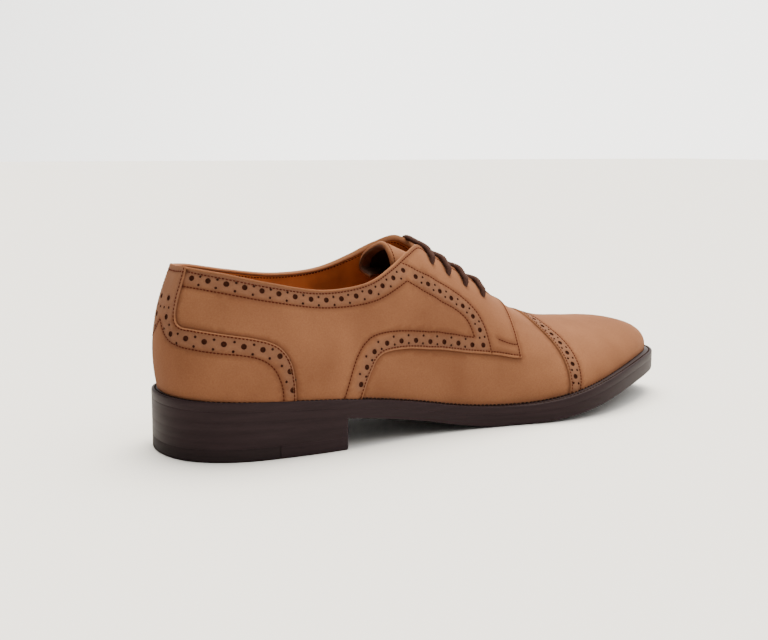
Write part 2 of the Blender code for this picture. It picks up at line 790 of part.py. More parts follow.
def main():
    clear_scene()
    tan = material("tan_nubuck", (0.46, 0.23, 0.11), 0.75)
    lining = material("orange_tan_lining", (0.45, 0.17, 0.04), 0.6)
    edge = material("dark_brown_sole_edge", (0.045, 0.028, 0.028), 0.45)
    rubber = material("dark_brown_rubber", (0.03, 0.02, 0.02), 0.7)
    cotton = material("waxed_brown_cotton", (0.12, 0.07, 0.05), 0.6)

    upper = add_upper(tan)
    add_toe_cap(tan)
    add_counter(tan)
    for side, name in ((LATERAL, "quarter_lateral"), (MEDIAL, "quarter_medial")):
        quarter = add_quarter(name, side, tan)
        cut_eyelets(side, (upper, quarter))
    add_tongue(tan)
    add_insole(lining)
    add_welt(edge)
    add_outsole(edge)
    add_lift("heel_stack", 0.0, HEEL_BREAST, TOP_PIECE + GAP, lambda x: tread(x) - GAP, edge)
    add_lift("heel_top_rubber", 0.0, TOP_PIECE_JOINT, 0.0, TOP_PIECE, rubber)
    add_lift("heel_top_leather", TOP_PIECE_JOINT + GAP, HEEL_BREAST, 0.0, TOP_PIECE, edge)
    add_lace(cotton)


main()
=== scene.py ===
"""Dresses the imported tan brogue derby: punched and stitched nubuck, lining, tongue, lace, welted sole."""

import math

import bpy
import numpy as np
from mathutils import Matrix, Vector
from mathutils.geometry import delaunay_2d_cdt
from mathutils.kdtree import KDTree


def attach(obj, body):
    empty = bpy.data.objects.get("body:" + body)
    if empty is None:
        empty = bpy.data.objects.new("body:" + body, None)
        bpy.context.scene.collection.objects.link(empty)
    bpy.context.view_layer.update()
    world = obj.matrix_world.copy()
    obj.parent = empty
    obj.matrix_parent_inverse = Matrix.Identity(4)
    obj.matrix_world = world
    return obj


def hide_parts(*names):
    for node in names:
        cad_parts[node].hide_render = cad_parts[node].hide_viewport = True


bl_info = {
    "name": "Tan brogue derby",
    "version": (1, 0, 0),
    "blender": (4, 5, 0),
    "location": "3D View > Sidebar > Brogue",
    "description": "Builds the looks of a right brogue shoe around its packed solids",
    "category": "Object",
}

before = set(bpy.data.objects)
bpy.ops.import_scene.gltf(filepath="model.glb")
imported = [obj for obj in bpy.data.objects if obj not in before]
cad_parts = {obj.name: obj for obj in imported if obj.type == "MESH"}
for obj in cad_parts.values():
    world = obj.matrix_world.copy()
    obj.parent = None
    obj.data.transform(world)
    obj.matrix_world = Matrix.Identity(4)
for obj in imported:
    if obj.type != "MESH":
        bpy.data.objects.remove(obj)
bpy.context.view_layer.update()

MM = 0.001
LATERAL = -1
MEDIAL = 1

# Sizes of the last, sole and leather in millimetres. The heel's breast, the top piece's joint and the ends
# of the sole's flat spot are distances from the back of the heel.
LENGTH = 305.0
TOE_SWING = 11.2
GAP = 0.3
WALL = 2.0
WELT_THICK = 4.2
HEEL_BREAST = 79.0
TOP_PIECE = 6.0
TOP_PIECE_JOINT = 44.0
SIDE_HEIGHT = 72.0
FLAT_START = 168.0
FLAT_END = 188.0
SOLE_POINTS = 221
LEATHER_BETWEEN = 0.75
EYELET_RADIUS = 1.35
# Distance each way over which a stitch takes its direction
STITCH_REACH = 0.3
# Turn of the lace's braid in radians for each millimetre of its length
BRAID_TURN = 1.9

# Outline of the sole: half widths each side of the foot's centre line
SOLE = [
    # x, lateral, medial, feather inset
    (0.0, 0.0, 0.0, 4.6),
    (9.0, 25.0, 26.0, 4.4),
    (24.5, 34.8, 33.2, 3.6),
    (46.0, 38.8, 36.8, 3.0),
    (76.0, 40.0, 36.6, 3.0),
    (100.5, 37.9, 34.6, 3.0),
    (128.0, 37.0, 32.2, 3.2),
    (152.5, 39.0, 33.0, 3.5),
    (177.0, 43.5, 39.2, 4.0),
    (198.0, 48.7, 46.2, 4.5),
    (219.5, 50.1, 50.2, 5.0),
    (244.0, 45.1, 49.5, 5.2),
    (268.5, 35.1, 40.3, 5.3),
    (286.5, 25.3, 28.8, 5.4),
    (299.0, 15.1, 16.8, 5.5),
    (305.0, 0.0, 0.0, 5.5),
]

# Side view of the sole: the welt's top and the outsole's tread
RISE = [
    # x, welt top, tread
    (0.0, 28.2, 19.1),
    (40.0, 26.6, 17.6),
    (78.0, 23.9, 14.9),
    (100.0, 20.9, 11.6),
    (122.0, 17.1, 7.7),
    (145.0, 12.8, 2.9),
    (158.0, 11.2, 0.9),
    (168.0, 10.5, 0.0),
    (188.0, 10.6, 0.0),
    (202.0, 12.0, 1.2),
    (229.0, 16.7, 5.3),
    (252.0, 20.7, 9.3),
    (274.0, 23.3, 11.9),
    (305.0, 24.2, 13.6),
]

# Sections of the last from the feather line to the top edge. Angles are in degrees.
LAST = [
    # x, top x, half gap, top lateral, top medial, flare, low, roof, high
    (0.0, 11.5, 0.0, 85.8, 85.8, 11.0, 24.0, 68.0, 20.0),
    (9.0, 14.5, 11.5, 85.7, 85.7, 11.0, 22.0, 70.0, 19.0),
    (24.5, 24.5, 22.0, 83.8, 84.2, 10.0, 19.0, 74.0, 18.0),
    (46.0, 45.0, 26.8, 78.9, 80.4, 9.0, 18.0, 77.0, 17.0),
    (76.0, 75.0, 27.5, 74.0, 76.8, 8.0, 17.0, 76.0, 16.0),
    (100.0, 99.0, 26.0, 76.8, 79.0, 6.0, 18.0, 71.0, 18.0),
    (116.0, 113.0, 21.5, 82.8, 84.6, 4.0, 20.0, 60.0, 21.0),
    (128.0, 125.0, 15.5, 88.3, 91.0, 3.0, 22.0, 47.0, 24.0),
    (135.0, 133.5, 10.5, 90.8, 94.2, 3.0, 23.0, 36.0, 25.0),
    (141.0, 139.5, 8.0, 88.0, 92.0, 3.0, 23.0, 28.0, 26.0),
    (152.0, 151.0, 8.0, 81.5, 84.0, 3.0, 22.0, 26.0, 26.0),
    (168.0, 167.0, 7.5, 72.6, 74.0, 4.0, 20.0, 24.0, 26.0),
    (184.0, 183.0, 5.0, 62.6, 62.9, 5.0, 18.0, 18.0, 26.0),
    (190.0, 189.0, 0.0, 59.8, 59.8, 5.5, 16.5, 0.0, 25.0),
    (202.0, 201.5, 0.0, 53.6, 53.6, 6.0, 15.0, 0.0, 23.0),
    (220.0, 218.5, 0.0, 48.2, 48.2, 7.0, 13.5, 0.0, 22.0),
    (244.0, 241.0, 0.0, 45.7, 45.7, 9.0, 12.0, 0.0, 21.0),
    (268.0, 257.0, 0.0, 44.6, 44.6, 11.0, 11.5, 0.0, 19.0),
    (287.0, 266.0, 0.0, 43.6, 43.6, 11.0, 11.0, 0.0, 17.0),
    (299.0, 271.0, 0.0, 42.8, 42.8, 11.0, 10.5, 0.0, 15.0),
    (305.0, 273.0, 0.0, 42.4, 42.4, 11.0, 10.5, 0.0, 15.0),
]
THROAT_END = 190.0
FACING_TOP = 141.0

# Edges of the leather pieces, as (station along the sole's edge, height v from the welt to the top)
COUNTER_LINE = [(0.064, 1.0), (0.062, 0.93), (0.058, 0.85), (0.053, 0.76), (0.0495, 0.68), (0.0485, 0.61),
                (0.051, 0.558), (0.059, 0.531), (0.076, 0.524), (0.104, 0.521), (0.135, 0.517),
                (0.160, 0.508), (0.178, 0.490), (0.190, 0.460), (0.199, 0.405), (0.2055, 0.32),
                (0.2085, 0.20), (0.2105, 0.0)]
QUARTER_BACK = [(0.046, 1.0), (0.034, 0.62), (0.045, 0.50), (0.07, 0.49), (0.15, 0.475), (0.175, 0.45),
                (0.186, 0.40), (0.197, 0.30), (0.2035, 0.0)]
QUARTER_LOW = [(0.3125, 0), (0.3205, 0.151), (0.33, 0.268), (0.3385, 0.345), (0.349, 0.385),
               (0.3607, 0.396), (0.3727, 0.397), (0.3848, 0.393), (0.397, 0.385), (0.409, 0.374),
               (0.419, 0.363), (0.429, 0.351), (0.4389, 0.34), (0.4509, 0.333), (0.4629, 0.333),
               (0.485, 0.341), (0.507, 0.353), (0.5311, 0.364), (0.56, 0.371), (0.5905, 0.37)]
QUARTER_FRONT = [(0.5905, 0.368), (0.5932, 0.412), (0.5958, 0.487), (0.5995, 0.562), (0.6045, 0.66),
                 (0.61, 0.769), (0.6135, 0.87), (0.6125, 0.94), (0.607, 1)]
VAMP_BACK = [(0.290, 0.0), (0.300, 0.25), (0.325, 0.42), (0.36, 0.49), (0.42, 0.46), (0.50, 0.45),
             (0.56, 0.48), (0.575, 0.60), (0.585, 0.80), (0.597, 0.90), (0.6112, 1.0)]
CAP_LINE = [(0.665, 0.0), (0.6675, 0.15), (0.669, 0.30), (0.668, 0.42), (0.666, 0.50), (0.661, 0.60),
            (0.656, 0.70), (0.653, 0.85), (0.652, 1.0)]

# Lines of stitches that don't follow an edge
COLLAR_HIGH = [(0.067, 0.965), (0.104, 0.96), (0.16, 0.957), (0.24, 0.961), (0.3, 0.97), (0.345, 0.975),
               (0.37, 0.975), (0.398, 0.972), (0.425, 0.97), (0.455, 0.968), (0.52, 0.966), (0.58, 0.963),
               (0.602, 0.96)]
COLLAR_LOW = [(0.0605, 0.847), (0.1042, 0.841), (0.1403, 0.835), (0.2024, 0.831), (0.2625, 0.829),
              (0.3206, 0.827), (0.37, 0.825), (0.411, 0.826)]
EYESTAY_OUTER = [(0.4108, 0.96), (0.4208, 0.908), (0.4289, 0.859), (0.4369, 0.809), (0.4449, 0.768),
                 (0.4549, 0.741), (0.4649, 0.73), (0.477, 0.724), (0.487, 0.719), (0.497, 0.711),
                 (0.506, 0.697), (0.514, 0.678), (0.521, 0.655), (0.5265, 0.625), (0.5303, 0.588),
                 (0.5333, 0.545), (0.5348, 0.5), (0.5355, 0.45), (0.5362, 0.366)]
EYESTAY_INNER = [(0.411, 0.828), (0.4188, 0.784), (0.4275, 0.736), (0.4349, 0.692), (0.4429, 0.651),
                 (0.4529, 0.62), (0.4629, 0.604), (0.4729, 0.597), (0.4835, 0.59), (0.493, 0.577),
                 (0.5005, 0.556), (0.505, 0.525), (0.5076, 0.49), (0.5093, 0.452)]
BAND_HIGH = [(0.2826, 0), (0.2906, 0.161), (0.299, 0.3), (0.3086, 0.41), (0.3186, 0.482), (0.3327, 0.537),
             (0.344, 0.55), (0.3547, 0.551), (0.3667, 0.544), (0.3788, 0.533), (0.3908, 0.518),
             (0.4028, 0.501), (0.4148, 0.482), (0.4269, 0.462), (0.4369, 0.445), (0.4489, 0.43),
             (0.4609, 0.427), (0.4729, 0.431), (0.49, 0.439), (0.5093, 0.452)]
SHORT_SEAM = [(0.5551, 0.482), (0.5925, 0.47)]
COUNTER_LOW = [(0, 0.56), (0.006, 0.53), (0.02, 0.457), (0.0341, 0.408), (0.0561, 0.378), (0.0842, 0.367),
               (0.1122, 0.367), (0.1383, 0.368), (0.1583, 0.353), (0.1703, 0.325), (0.1804, 0.271),
               (0.1864, 0.201), (0.1904, 0.121), (0.1924, 0)]
CAP_FORE = [(0.6860, 0.0), (0.6895, 0.141), (0.6914, 0.261), (0.6910, 0.387), (0.6885, 0.500),
            (0.6835, 0.610), (0.6770, 0.710), (0.6735, 0.850), (0.6725, 1.0)]

# Lines of punched holes
COLLAR_HOLES = [(0.0782, 0.92), (0.1323, 0.918), (0.2004, 0.915), (0.2745, 0.903), (0.3, 0.907),
                (0.325, 0.914), (0.3567, 0.914), (0.3828, 0.915), (0.4088, 0.909)]
EYESTAY_HOLES = [(0.4269, 0.811), (0.4349, 0.762), (0.4429, 0.714), (0.452, 0.682), (0.4629, 0.667),
                 (0.483, 0.651), (0.494, 0.642), (0.503, 0.63), (0.5105, 0.608), (0.5165, 0.58),
                 (0.5203, 0.543), (0.5225, 0.505), (0.523, 0.46), (0.523, 0.415)]
BAND_HOLES = [(0.3086, 0.131), (0.3186, 0.276), (0.3327, 0.408), (0.3527, 0.463), (0.3665, 0.463),
              (0.3808, 0.456), (0.3928, 0.447), (0.404, 0.435), (0.4148, 0.422), (0.4248, 0.406),
              (0.4369, 0.388), (0.4469, 0.379), (0.4589, 0.377), (0.47, 0.38), (0.486, 0.39),
              (0.503, 0.399)]
COUNTER_HOLES = [(0.022, 0.739), (0.024, 0.593), (0.0381, 0.465), (0.0701, 0.445), (0.0962, 0.441),
                 (0.1222, 0.443), (0.1463, 0.437), (0.1723, 0.417), (0.1944, 0.357), (0.2024, 0.231),
                 (0.2044, 0.095)]
CAP_HOLES = [(0.6765, 0.060), (0.6790, 0.180), (0.6805, 0.296), (0.6800, 0.400), (0.6775, 0.500),
             (0.6725, 0.600), (0.6670, 0.700), (0.6635, 0.850), (0.6625, 1.0)]
HOLE_ROWS = {
    # line, large holes, steps left free before and after them, pinholes to the left and to the right
    "collar": (COLLAR_HOLES, 15, 0.0, 0.0, 1.35, 2.5),
    "eyestay": (EYESTAY_HOLES, 8, 0.0, 0.0, 1.75, 1.4),
    "band": (BAND_HOLES, 10, 0.0, 0.0, 2.5, 1.3),
    "counter": (COUNTER_HOLES, 11, 0.0, 0.0, 1.5, 2.7),
    "cap": (CAP_HOLES, 9, 0.76, 0.26, 1.5, 1.8),
}
EYELETS = [(0.465, 0.874), (0.492, 0.856), (0.522, 0.838), (0.556, 0.830)]

# The tongue: a curved strip that stands up behind the lacing as an arch
TONGUE = [
    # x, ridge height, half width, drop at the edges, rise to the inner side
    (117.0, 94.0, 17.0, 12.5, 2.5),
    (125.0, 91.0, 17.0, 12.5, 2.5),
    (134.0, 87.3, 16.8, 12.5, 2.5),
    (142.0, 83.0, 16.5, 12.3, 2.5),
    (151.0, 77.8, 16.0, 12.0, 2.2),
    (167.0, 68.3, 15.0, 11.0, 1.2),
    (184.0, 58.8, 13.0, 7.0, 0.3),
    (191.0, 56.2, 12.0, 4.5, 0.0),
    (199.0, 52.0, 11.0, 3.5, 0.0),
]
TONGUE_ROUND = 2.2
# Section of its free end, rolled in at the inner side, as (distance from the centre line, height)
TONGUE_END = [(-16.6, 78.5), (-15.9, 84.5), (-13.1, 89.6), (-8.5, 93.2), (-3.1, 93.7), (2.4, 92.2),
              (9.2, 89.5), (15.4, 85.6), (18.6, 79.7), (16.1, 75.5), (7.0, 73.2)]
TONGUE_ROLL = 0.55

# Soft troughs that flexing has left, in millimetres
CREASES = [
    # station, v, run along the foot, half width, depth
    (0.520, 0.150, 46.0, 4.0, 0.30),
    (0.560, 0.235, 38.0, 3.5, 0.28),
    (0.600, 0.300, 26.0, 3.0, 0.25),
    (0.625, 0.620, 16.0, 3.2, 0.25),
    (0.420, 0.215, 34.0, 5.0, 0.25),
    (0.260, 0.600, 60.0, 9.0, 0.30),
    (0.360, 0.690, 40.0, 8.0, 0.30),
]
CREASE_BOW = 0.0035


class LeatherSettings(bpy.types.PropertyGroup):
    """Sizes and colours of the upper."""

    quarter_rise: bpy.props.FloatProperty(
        name="Quarter thickness", description="Height of the quarter over the vamp, in mm", default=1.2)
    counter_rise: bpy.props.FloatProperty(
        name="Counter thickness", description="Height of the counter over the vamp, in mm", default=1.9)
    cap_rise: bpy.props.FloatProperty(
        name="Toe cap thickness", description="Height of the toe cap over the vamp, in mm", default=0.8)
    hole: bpy.props.FloatProperty(
        name="Large hole", description="Radius of the large punched holes, in mm", default=1.25)
    pinhole: bpy.props.FloatProperty(
        name="Pinhole", description="Radius of the small punched holes, in mm", default=0.58)
    grid: bpy.props.FloatProperty(
        name="Facet size", description="Spacing of the mesh points, in mm", default=2.4)
    stitch_pitch: bpy.props.FloatProperty(
        name="Stitch pitch", description="Distance from stitch to stitch, in mm", default=1.7)
    stitch_length: bpy.props.FloatProperty(
        name="Stitch length", description="Length of one stitch, in mm", default=1.3)
    stitch_width: bpy.props.FloatProperty(
        name="Thread width", description="Width of the thread, in mm", default=0.55)
    nubuck: bpy.props.StringProperty(
        name="Nubuck", description="Colour of the nubuck, as sRGB hex", default="#7B5239")
    nubuck_dark: bpy.props.StringProperty(
        name="Nubuck, rubbed down", description="Colour of the darker clouds", default="#6B452F")
    nubuck_edge: bpy.props.StringProperty(
        name="Nubuck edge", description="Colour of folded edges", default="#7C533A")
    nubuck_band: bpy.props.StringProperty(
        name="Nubuck band", description="Colour of the punched bands, whose nap lies flat", default="#6C4E3E")
    thread: bpy.props.StringProperty(
        name="Thread", description="Colour of the upper's thread", default="#47180B")
    lining: bpy.props.StringProperty(
        name="Lining", description="Colour of the lining", default="#B06C3C")


class SoleSettings(bpy.types.PropertyGroup):
    """Sizes and colours of the sole and the lace."""

    welt_stitch: bpy.props.FloatProperty(
        name="Welt stitch pitch", description="Distance between stitches on the welt, in mm", default=2.3)
    lace_width: bpy.props.FloatProperty(
        name="Lace diameter", description="Thickness of the lace, in mm", default=2.8)
    edge: bpy.props.StringProperty(
        name="Sole edge", description="Colour of the inked edge", default="#2B2123")
    rubber: bpy.props.StringProperty(
        name="Heel rubber", description="Colour of the rubber top piece", default="#271F20")
    lace: bpy.props.StringProperty(
        name="Lace", description="Colour of the lace", default="#46302A")


class StageSettings(bpy.types.PropertyGroup):
    """Floor, light and camera."""

    floor: bpy.props.StringProperty(
        name="Floor", description="Colour of the floor", default="#DDDCDA")
    sky: bpy.props.FloatProperty(
        name="Horizon", description="Brightness of the studio at the horizon", default=4.35, min=0.0)
    zenith: bpy.props.FloatProperty(
        name="Ceiling", description="Brightness of the studio overhead", default=15.0, min=0.0)
    key: bpy.props.FloatProperty(
        name="Key light", description="Strength of the wide lamp over the toe, in W/m2", default=5.7, min=0.0)


def cubic(knots, values, slopes, where):
    """The cubic through the knots with the given slopes, at where."""
    where = np.asarray(where, float)
    i = np.clip(np.searchsorted(knots, where, side="right") - 1, 0, len(knots) - 2)
    step = knots[i + 1] - knots[i]
    t = (where - knots[i]) / step
    rise = values[i + 1] - values[i]
    bend = (slopes[i] * step - rise) * (1 - t) + (rise - slopes[i + 1] * step) * t
    return values[i] + t * rise + t * (1 - t) * bend


def closed_slopes(knots, values):
    """Slopes of the smooth closed curve through values, whose last entry repeats its first."""
    step = np.diff(knots)
    count = len(step)
    matrix = np.zeros((count, count))
    right = np.zeros(count)
    for i in range(count):
        before, after = step[i - 1], step[i]
        matrix[i, i - 1] += 1 / before
        matrix[i, i] += 2 * (1 / before + 1 / after)
        matrix[i, (i + 1) % count] += 1 / after
        rise_before = (values[i] - values[(i - 1) % count]) / before**2
        rise_after = (values[(i + 1) % count] - values[i]) / after**2
        right[i] = 3 * (rise_before + rise_after)
    slopes = np.linalg.solve(matrix, right)
    return np.append(slopes, slopes[0])


def centre(x):
    """How far the foot's centre line has swung to the inner side at x."""
    return TOE_SWING * (np.asarray(x, float) / LENGTH) ** 2


def run_of(path):
    """Distance along a path at each of its points."""
    return np.append(0.0, np.cumsum(np.linalg.norm(np.diff(path, axis=0), axis=1)))


def read_path(path, run, at):
    """Points of a path at some distances along it."""
    return np.stack([np.interp(at, run, line) for line in np.asarray(path).T], -1)


class Outline:
    """The sole's closed outline, read by side and by station: 0 at the heel, 1 at the toe."""

    def __init__(self):
        x, lateral, medial, inset = np.array(SOLE).T
        half = (lateral + medial) / 2
        reach = run_of(np.stack([x, half], -1))
        self.stations = reach / reach[-1]
        self.reach = reach[-1]
        self.inset = inset
        self.knots = np.concatenate([self.stations, 2 - self.stations[-2::-1]])
        ring_x = np.concatenate([x, x[-2::-1]])
        ring_y = np.concatenate([centre(x) - lateral, (centre(x) + medial)[-2::-1]])
        self.x = (ring_x, closed_slopes(self.knots, ring_x[:-1]))
        self.y = (ring_y, closed_slopes(self.knots, ring_y[:-1]))

    def point(self, side, station):
        """Plan point of the sole's edge."""
        around = np.asarray(station, float) if side == LATERAL else 2 - np.asarray(station, float)
        return np.stack([cubic(self.knots, *self.x, around), cubic(self.knots, *self.y, around)], -1)

    def normal(self, side, station):
        """Outward direction in plan, straight back at the heel and straight ahead at the toe."""
        tiny = 1e-4
        near = np.clip(np.asarray(station, float) - tiny, 0, 1)
        far = np.clip(np.asarray(station, float) + tiny, 0, 1)
        along = self.point(side, far) - self.point(side, near)
        out = np.stack([-along[..., 1], along[..., 0]], -1) * side
        out[..., 1] = np.where(near == 0, 0, np.where(far == 1, 0, out[..., 1]))
        return out / np.linalg.norm(out, axis=-1, keepdims=True)

    def station(self, x):
        """The station at a distance x from the heel."""
        fine = np.linspace(0, 1, 2001)
        return np.interp(x, cubic(self.knots, *self.x, fine), fine)


OUTLINE = Outline()


def spaced(count):
    """Stations from 0 to 1, closer together at the heel and the toe."""
    t = np.linspace(0, 1, count)
    return t - 0.45 * np.sin(2 * np.pi * t) / (2 * np.pi)


def box_middle():
    """Plan middle of the sole's box on the floor, which is the part's origin."""
    edge = np.concatenate([OUTLINE.point(side, spaced(39)) for side in (LATERAL, MEDIAL)])
    return np.append((edge.min(axis=0) + edge.max(axis=0)) / 2, 0.0)


ORIGIN = box_middle()


def column(table, number, x):
    """One column of a side view table, read smoothly at x."""
    rows = np.array(table)
    return cubic(rows[:, 0], rows[:, number], np.gradient(rows[:, number], rows[:, 0]), x)


def welt_top(x):
    """Height of the welt's top."""
    return column(RISE, 1, np.clip(x, 0, LENGTH))


def tread(x):
    """Height of the outsole's tread, which is flat on the floor under the ball."""
    x = np.clip(x, 0, LENGTH)
    flat = (x >= FLAT_START) & (x <= FLAT_END)
    return np.where(flat, 0.0, np.maximum(column(RISE, 2, x), 0.0))


class Last:
    """The upper's outer face: skin(side, station, v), with v from 0 at the feather line to 1 at the top."""

    def __init__(self):
        table = np.array(LAST)
        self.stations = OUTLINE.station(table[:, 0])
        self.stations[0], self.stations[-1] = 0.0, 1.0
        self.columns = []
        for number in range(1, table.shape[1]):
            values = table[:, number]
            slopes = np.gradient(values, self.stations)
            if number != 2:
                slopes[0] = slopes[-1] = 0.0
            self.columns.append((values, slopes))
        self.closed = round(float(OUTLINE.station(THROAT_END)), 9)
        self.facing = float(OUTLINE.station(FACING_TOP))

    def read(self, number, station):
        """One column of the sections' table, after its first two."""
        return cubic(self.stations, *self.columns[number], station)

    def top(self, side, station):
        """Point of the top edge: the topline, the facing's edge or the ridge."""
        x = self.read(0, station)
        half = np.where(station >= self.closed, 0.0, np.maximum(self.read(1, station), 0.0))
        z = self.read(2 if side == LATERAL else 3, station)
        return np.stack([x, centre(x) + side * half, z], -1)

    def skin(self, side, station, v):
        """Point of the outer face: a cubic arch from the feather line to the top edge."""
        station = np.asarray(station, float)
        v = np.asarray(v, float)[..., None]
        out = OUTLINE.normal(side, station)
        inset = np.interp(station, OUTLINE.stations, OUTLINE.inset)[..., None]
        edge = OUTLINE.point(side, station) - out * inset
        foot = np.concatenate([edge, (welt_top(edge[..., 0]) + GAP)[..., None]], -1)
        top = self.top(side, station)
        flare, low, roof, high = (self.read(number, station) for number in (4, 5, 6, 7))
        flare, roof = np.radians(flare), np.radians(np.maximum(roof, 0.0))
        ahead = self.top(side, np.clip(station + 1e-3, 0, 1))
        behind = self.top(side, np.clip(station - 1e-3, 0, 1))
        ridge = (ahead[..., 2] - behind[..., 2]) / np.maximum(ahead[..., 0] - behind[..., 0], 1e-6)
        share = np.clip((station - self.facing) / (self.closed - self.facing), 0, 1)
        ridge = ridge * share**2 * (3 - 2 * share)
        first = foot.copy()
        first[..., :2] += out * (low * np.sin(flare))[..., None]
        first[..., 2] += low * np.cos(flare)
        second = top.copy()
        second[..., :2] += out * (high * np.cos(roof))[..., None]
        second[..., 2] += high * (np.cos(roof) * out[..., 0] * ridge - np.sin(roof))
        u = 1 - v
        return u**3 * foot + 3 * u * u * v * first + 3 * u * v * v * second + v**3 * top

    def slopes(self, side, station, v):
        """Change of the skin's point along the station and along v."""
        tiny = 1e-3
        v = np.where(station >= self.closed, np.minimum(v, 0.985), v)
        near, far = np.clip(station - tiny, 0, 1), np.clip(station + tiny, 0, 1)
        low, high = np.clip(v - tiny, 0, 1), np.clip(v + tiny, 0, 1)
        along = (self.skin(side, far, v) - self.skin(side, near, v)) / (far - near)[..., None]
        up = (self.skin(side, station, high) - self.skin(side, station, low)) / (high - low)[..., None]
        return along, up

    def normal(self, side, station, v):
        """Outward direction of the skin."""
        along, up = self.slopes(side, np.asarray(station, float), np.asarray(v, float))
        out = np.cross(along, up) * -side
        return out / np.linalg.norm(out, axis=-1, keepdims=True)

    def offset(self, side, station, v, rise):
        """A point that stands rise above the skin. Where both sides meet, their normals are averaged."""
        station, v = np.asarray(station, float), np.asarray(v, float)
        out = self.normal(side, station, v)
        shared = on_middle(station, v)
        if shared.any():
            both = out + self.normal(-side, station, v)
            both /= np.linalg.norm(both, axis=-1, keepdims=True)
            out = np.where(shared[..., None], both, out)
        return self.skin(side, station, v) + out * np.asarray(rise, float)[..., None]

    def shift(self, station, v, move):
        """Map coordinates of a point moved by a small vector in the skin, on the outer side."""
        along, up = self.slopes(LATERAL, station, v)
        a = (along * along).sum(-1)
        b = (along * up).sum(-1)
        c = (up * up).sum(-1)
        p = (along * move).sum(-1)
        q = (up * move).sum(-1)
        scale = a * c - b * b
        return station + (c * p - b * q) / scale, v + (a * q - b * p) / scale


def on_middle(station, v):
    """True on the lines where the outer and the inner side of the shoe meet."""
    return (station <= 0) | (station >= 1) | ((v >= 1) & (station >= LAST_FORM.closed))


LAST_FORM = Last()
MAP_SCALE = np.array([OUTLINE.reach, SIDE_HEIGHT])


def place(points):
    """Row frame metres from the shoe's millimetres."""
    return (np.asarray(points) - ORIGIN) * MM


def linear(hexed):
    """Linear colour from an sRGB hex value."""
    parts = [int(hexed[i:i + 2], 16) / 255 for i in (1, 3, 5)]
    return tuple(c / 12.92 if c <= 0.04045 else ((c + 0.055) / 1.055) ** 2.4 for c in parts) + (1.0,)


def settings():
    """The three groups of settings: leather, sole and stage."""
    return bpy.context.scene.brogue_leather, bpy.context.scene.brogue_sole, bpy.context.scene.brogue_stage


def trace(line, pitch):
    """Points along the smooth curve through a line of the map, equally spaced over the skin."""
    line = np.array(line, float)
    flat = line * MAP_SCALE
    reach = run_of(flat)
    fine = np.linspace(0, reach[-1], 60 * len(line))
    if len(line) > 2:
        curve = np.stack([cubic(reach, part, np.gradient(part, reach), fine) for part in line.T], -1)
    else:
        curve = read_path(line, reach, fine)
    curve = np.clip(curve, 0, 1)
    run = run_of(LAST_FORM.skin(LATERAL, curve[:, 0], curve[:, 1]))
    found = read_path(curve, run, np.linspace(0, run[-1], max(2, round(run[-1] / pitch) + 1)))
    found[0], found[-1] = line[0], line[-1]
    return found


def sideways(points):
    """Unit vectors in the skin, square to a traced line and to its left."""
    skin = LAST_FORM.skin(LATERAL, points[:, 0], points[:, 1])
    along = np.gradient(skin, axis=0)
    out = np.cross(LAST_FORM.normal(LATERAL, points[:, 0], points[:, 1]), along)
    return out / np.linalg.norm(out, axis=1, keepdims=True)


def beside(line, distance, pitch=1.0):
    """The line that runs a distance to the left of another, over the skin."""
    points = trace(line, pitch)
    s, v = LAST_FORM.shift(points[:, 0], points[:, 1], sideways(points) * distance)
    moved = np.stack([s, v], -1)
    for end in (0, -1):
        if points[end, 1] in (0.0, 1.0):
            moved[end, 1] = points[end, 1]
    return np.clip(moved, 0, 1)


def holes_along(name):
    """Centres of the large holes on a line, and of the pinholes that stand in pairs between them."""
    line, count, before, after, left, right = HOLE_ROWS[name]
    fine = trace(line, 0.1)
    step = (len(fine) - 1) / (before + count - 1 + after)
    large = fine[np.round((before + np.arange(count)) * step).astype(int)]
    near = np.round((before + np.arange(count + 1) - 0.5) * step).astype(int)
    near = near[(near > 0) & (near < len(fine) - 1)]
    between = fine[near]
    skin = LAST_FORM.skin(LATERAL, fine[:, 0], fine[:, 1])
    along = skin[near + 1] - skin[near - 1]
    out = np.cross(LAST_FORM.normal(LATERAL, between[:, 0], between[:, 1]), along)
    out /= np.linalg.norm(out, axis=1, keepdims=True)
    small = []
    for side in (left, -right):
        s, v = LAST_FORM.shift(between[:, 0], between[:, 1], out * side)
        small.append(np.stack([s, v], -1))
    return large, np.concatenate(small)


def relief(station, v):
    """Height that the soft creases add: a bowed trough with a ridge half as strong above it."""
    depth = np.zeros(len(station))
    for where, high, run, half, deep in CREASES:
        along = (station - where) * OUTLINE.reach
        across = (v - high) * SIDE_HEIGHT - CREASE_BOW * along**2
        strength = deep * np.exp(-((along / run * 2) ** 4))
        trough = np.exp(-((across / half) ** 2))
        ridge = np.exp(-(((across - 1.8 * half) / half) ** 2))
        depth += strength * (0.5 * ridge - trough)
    return depth


def inside(loop, points):
    """Whether each point lies in the closed loop."""
    found = np.zeros(len(points), bool)
    for a, b in zip(loop, np.roll(loop, -1, axis=0)):
        crosses = (a[1] > points[:, 1]) != (b[1] > points[:, 1])
        if crosses.any():
            x = a[0] + (points[:, 1] - a[1]) * (b[0] - a[0]) / (b[1] - a[1] if b[1] != a[1] else 1e-12)
            found ^= crosses & (points[:, 0] < x)
    return found


def far_from(points, others, distance):
    """Whether each point keeps its distance from all the others, in the flat map."""
    if not len(others):
        return np.ones(len(points), bool)
    tree = KDTree(len(others))
    for i, (x, y) in enumerate(others):
        tree.insert((x, y, 0.0), i)
    tree.balance()
    distance = np.broadcast_to(distance, len(points))
    return np.array([tree.find((x, y, 0.0))[2] >= d for (x, y), d in zip(points, distance)])


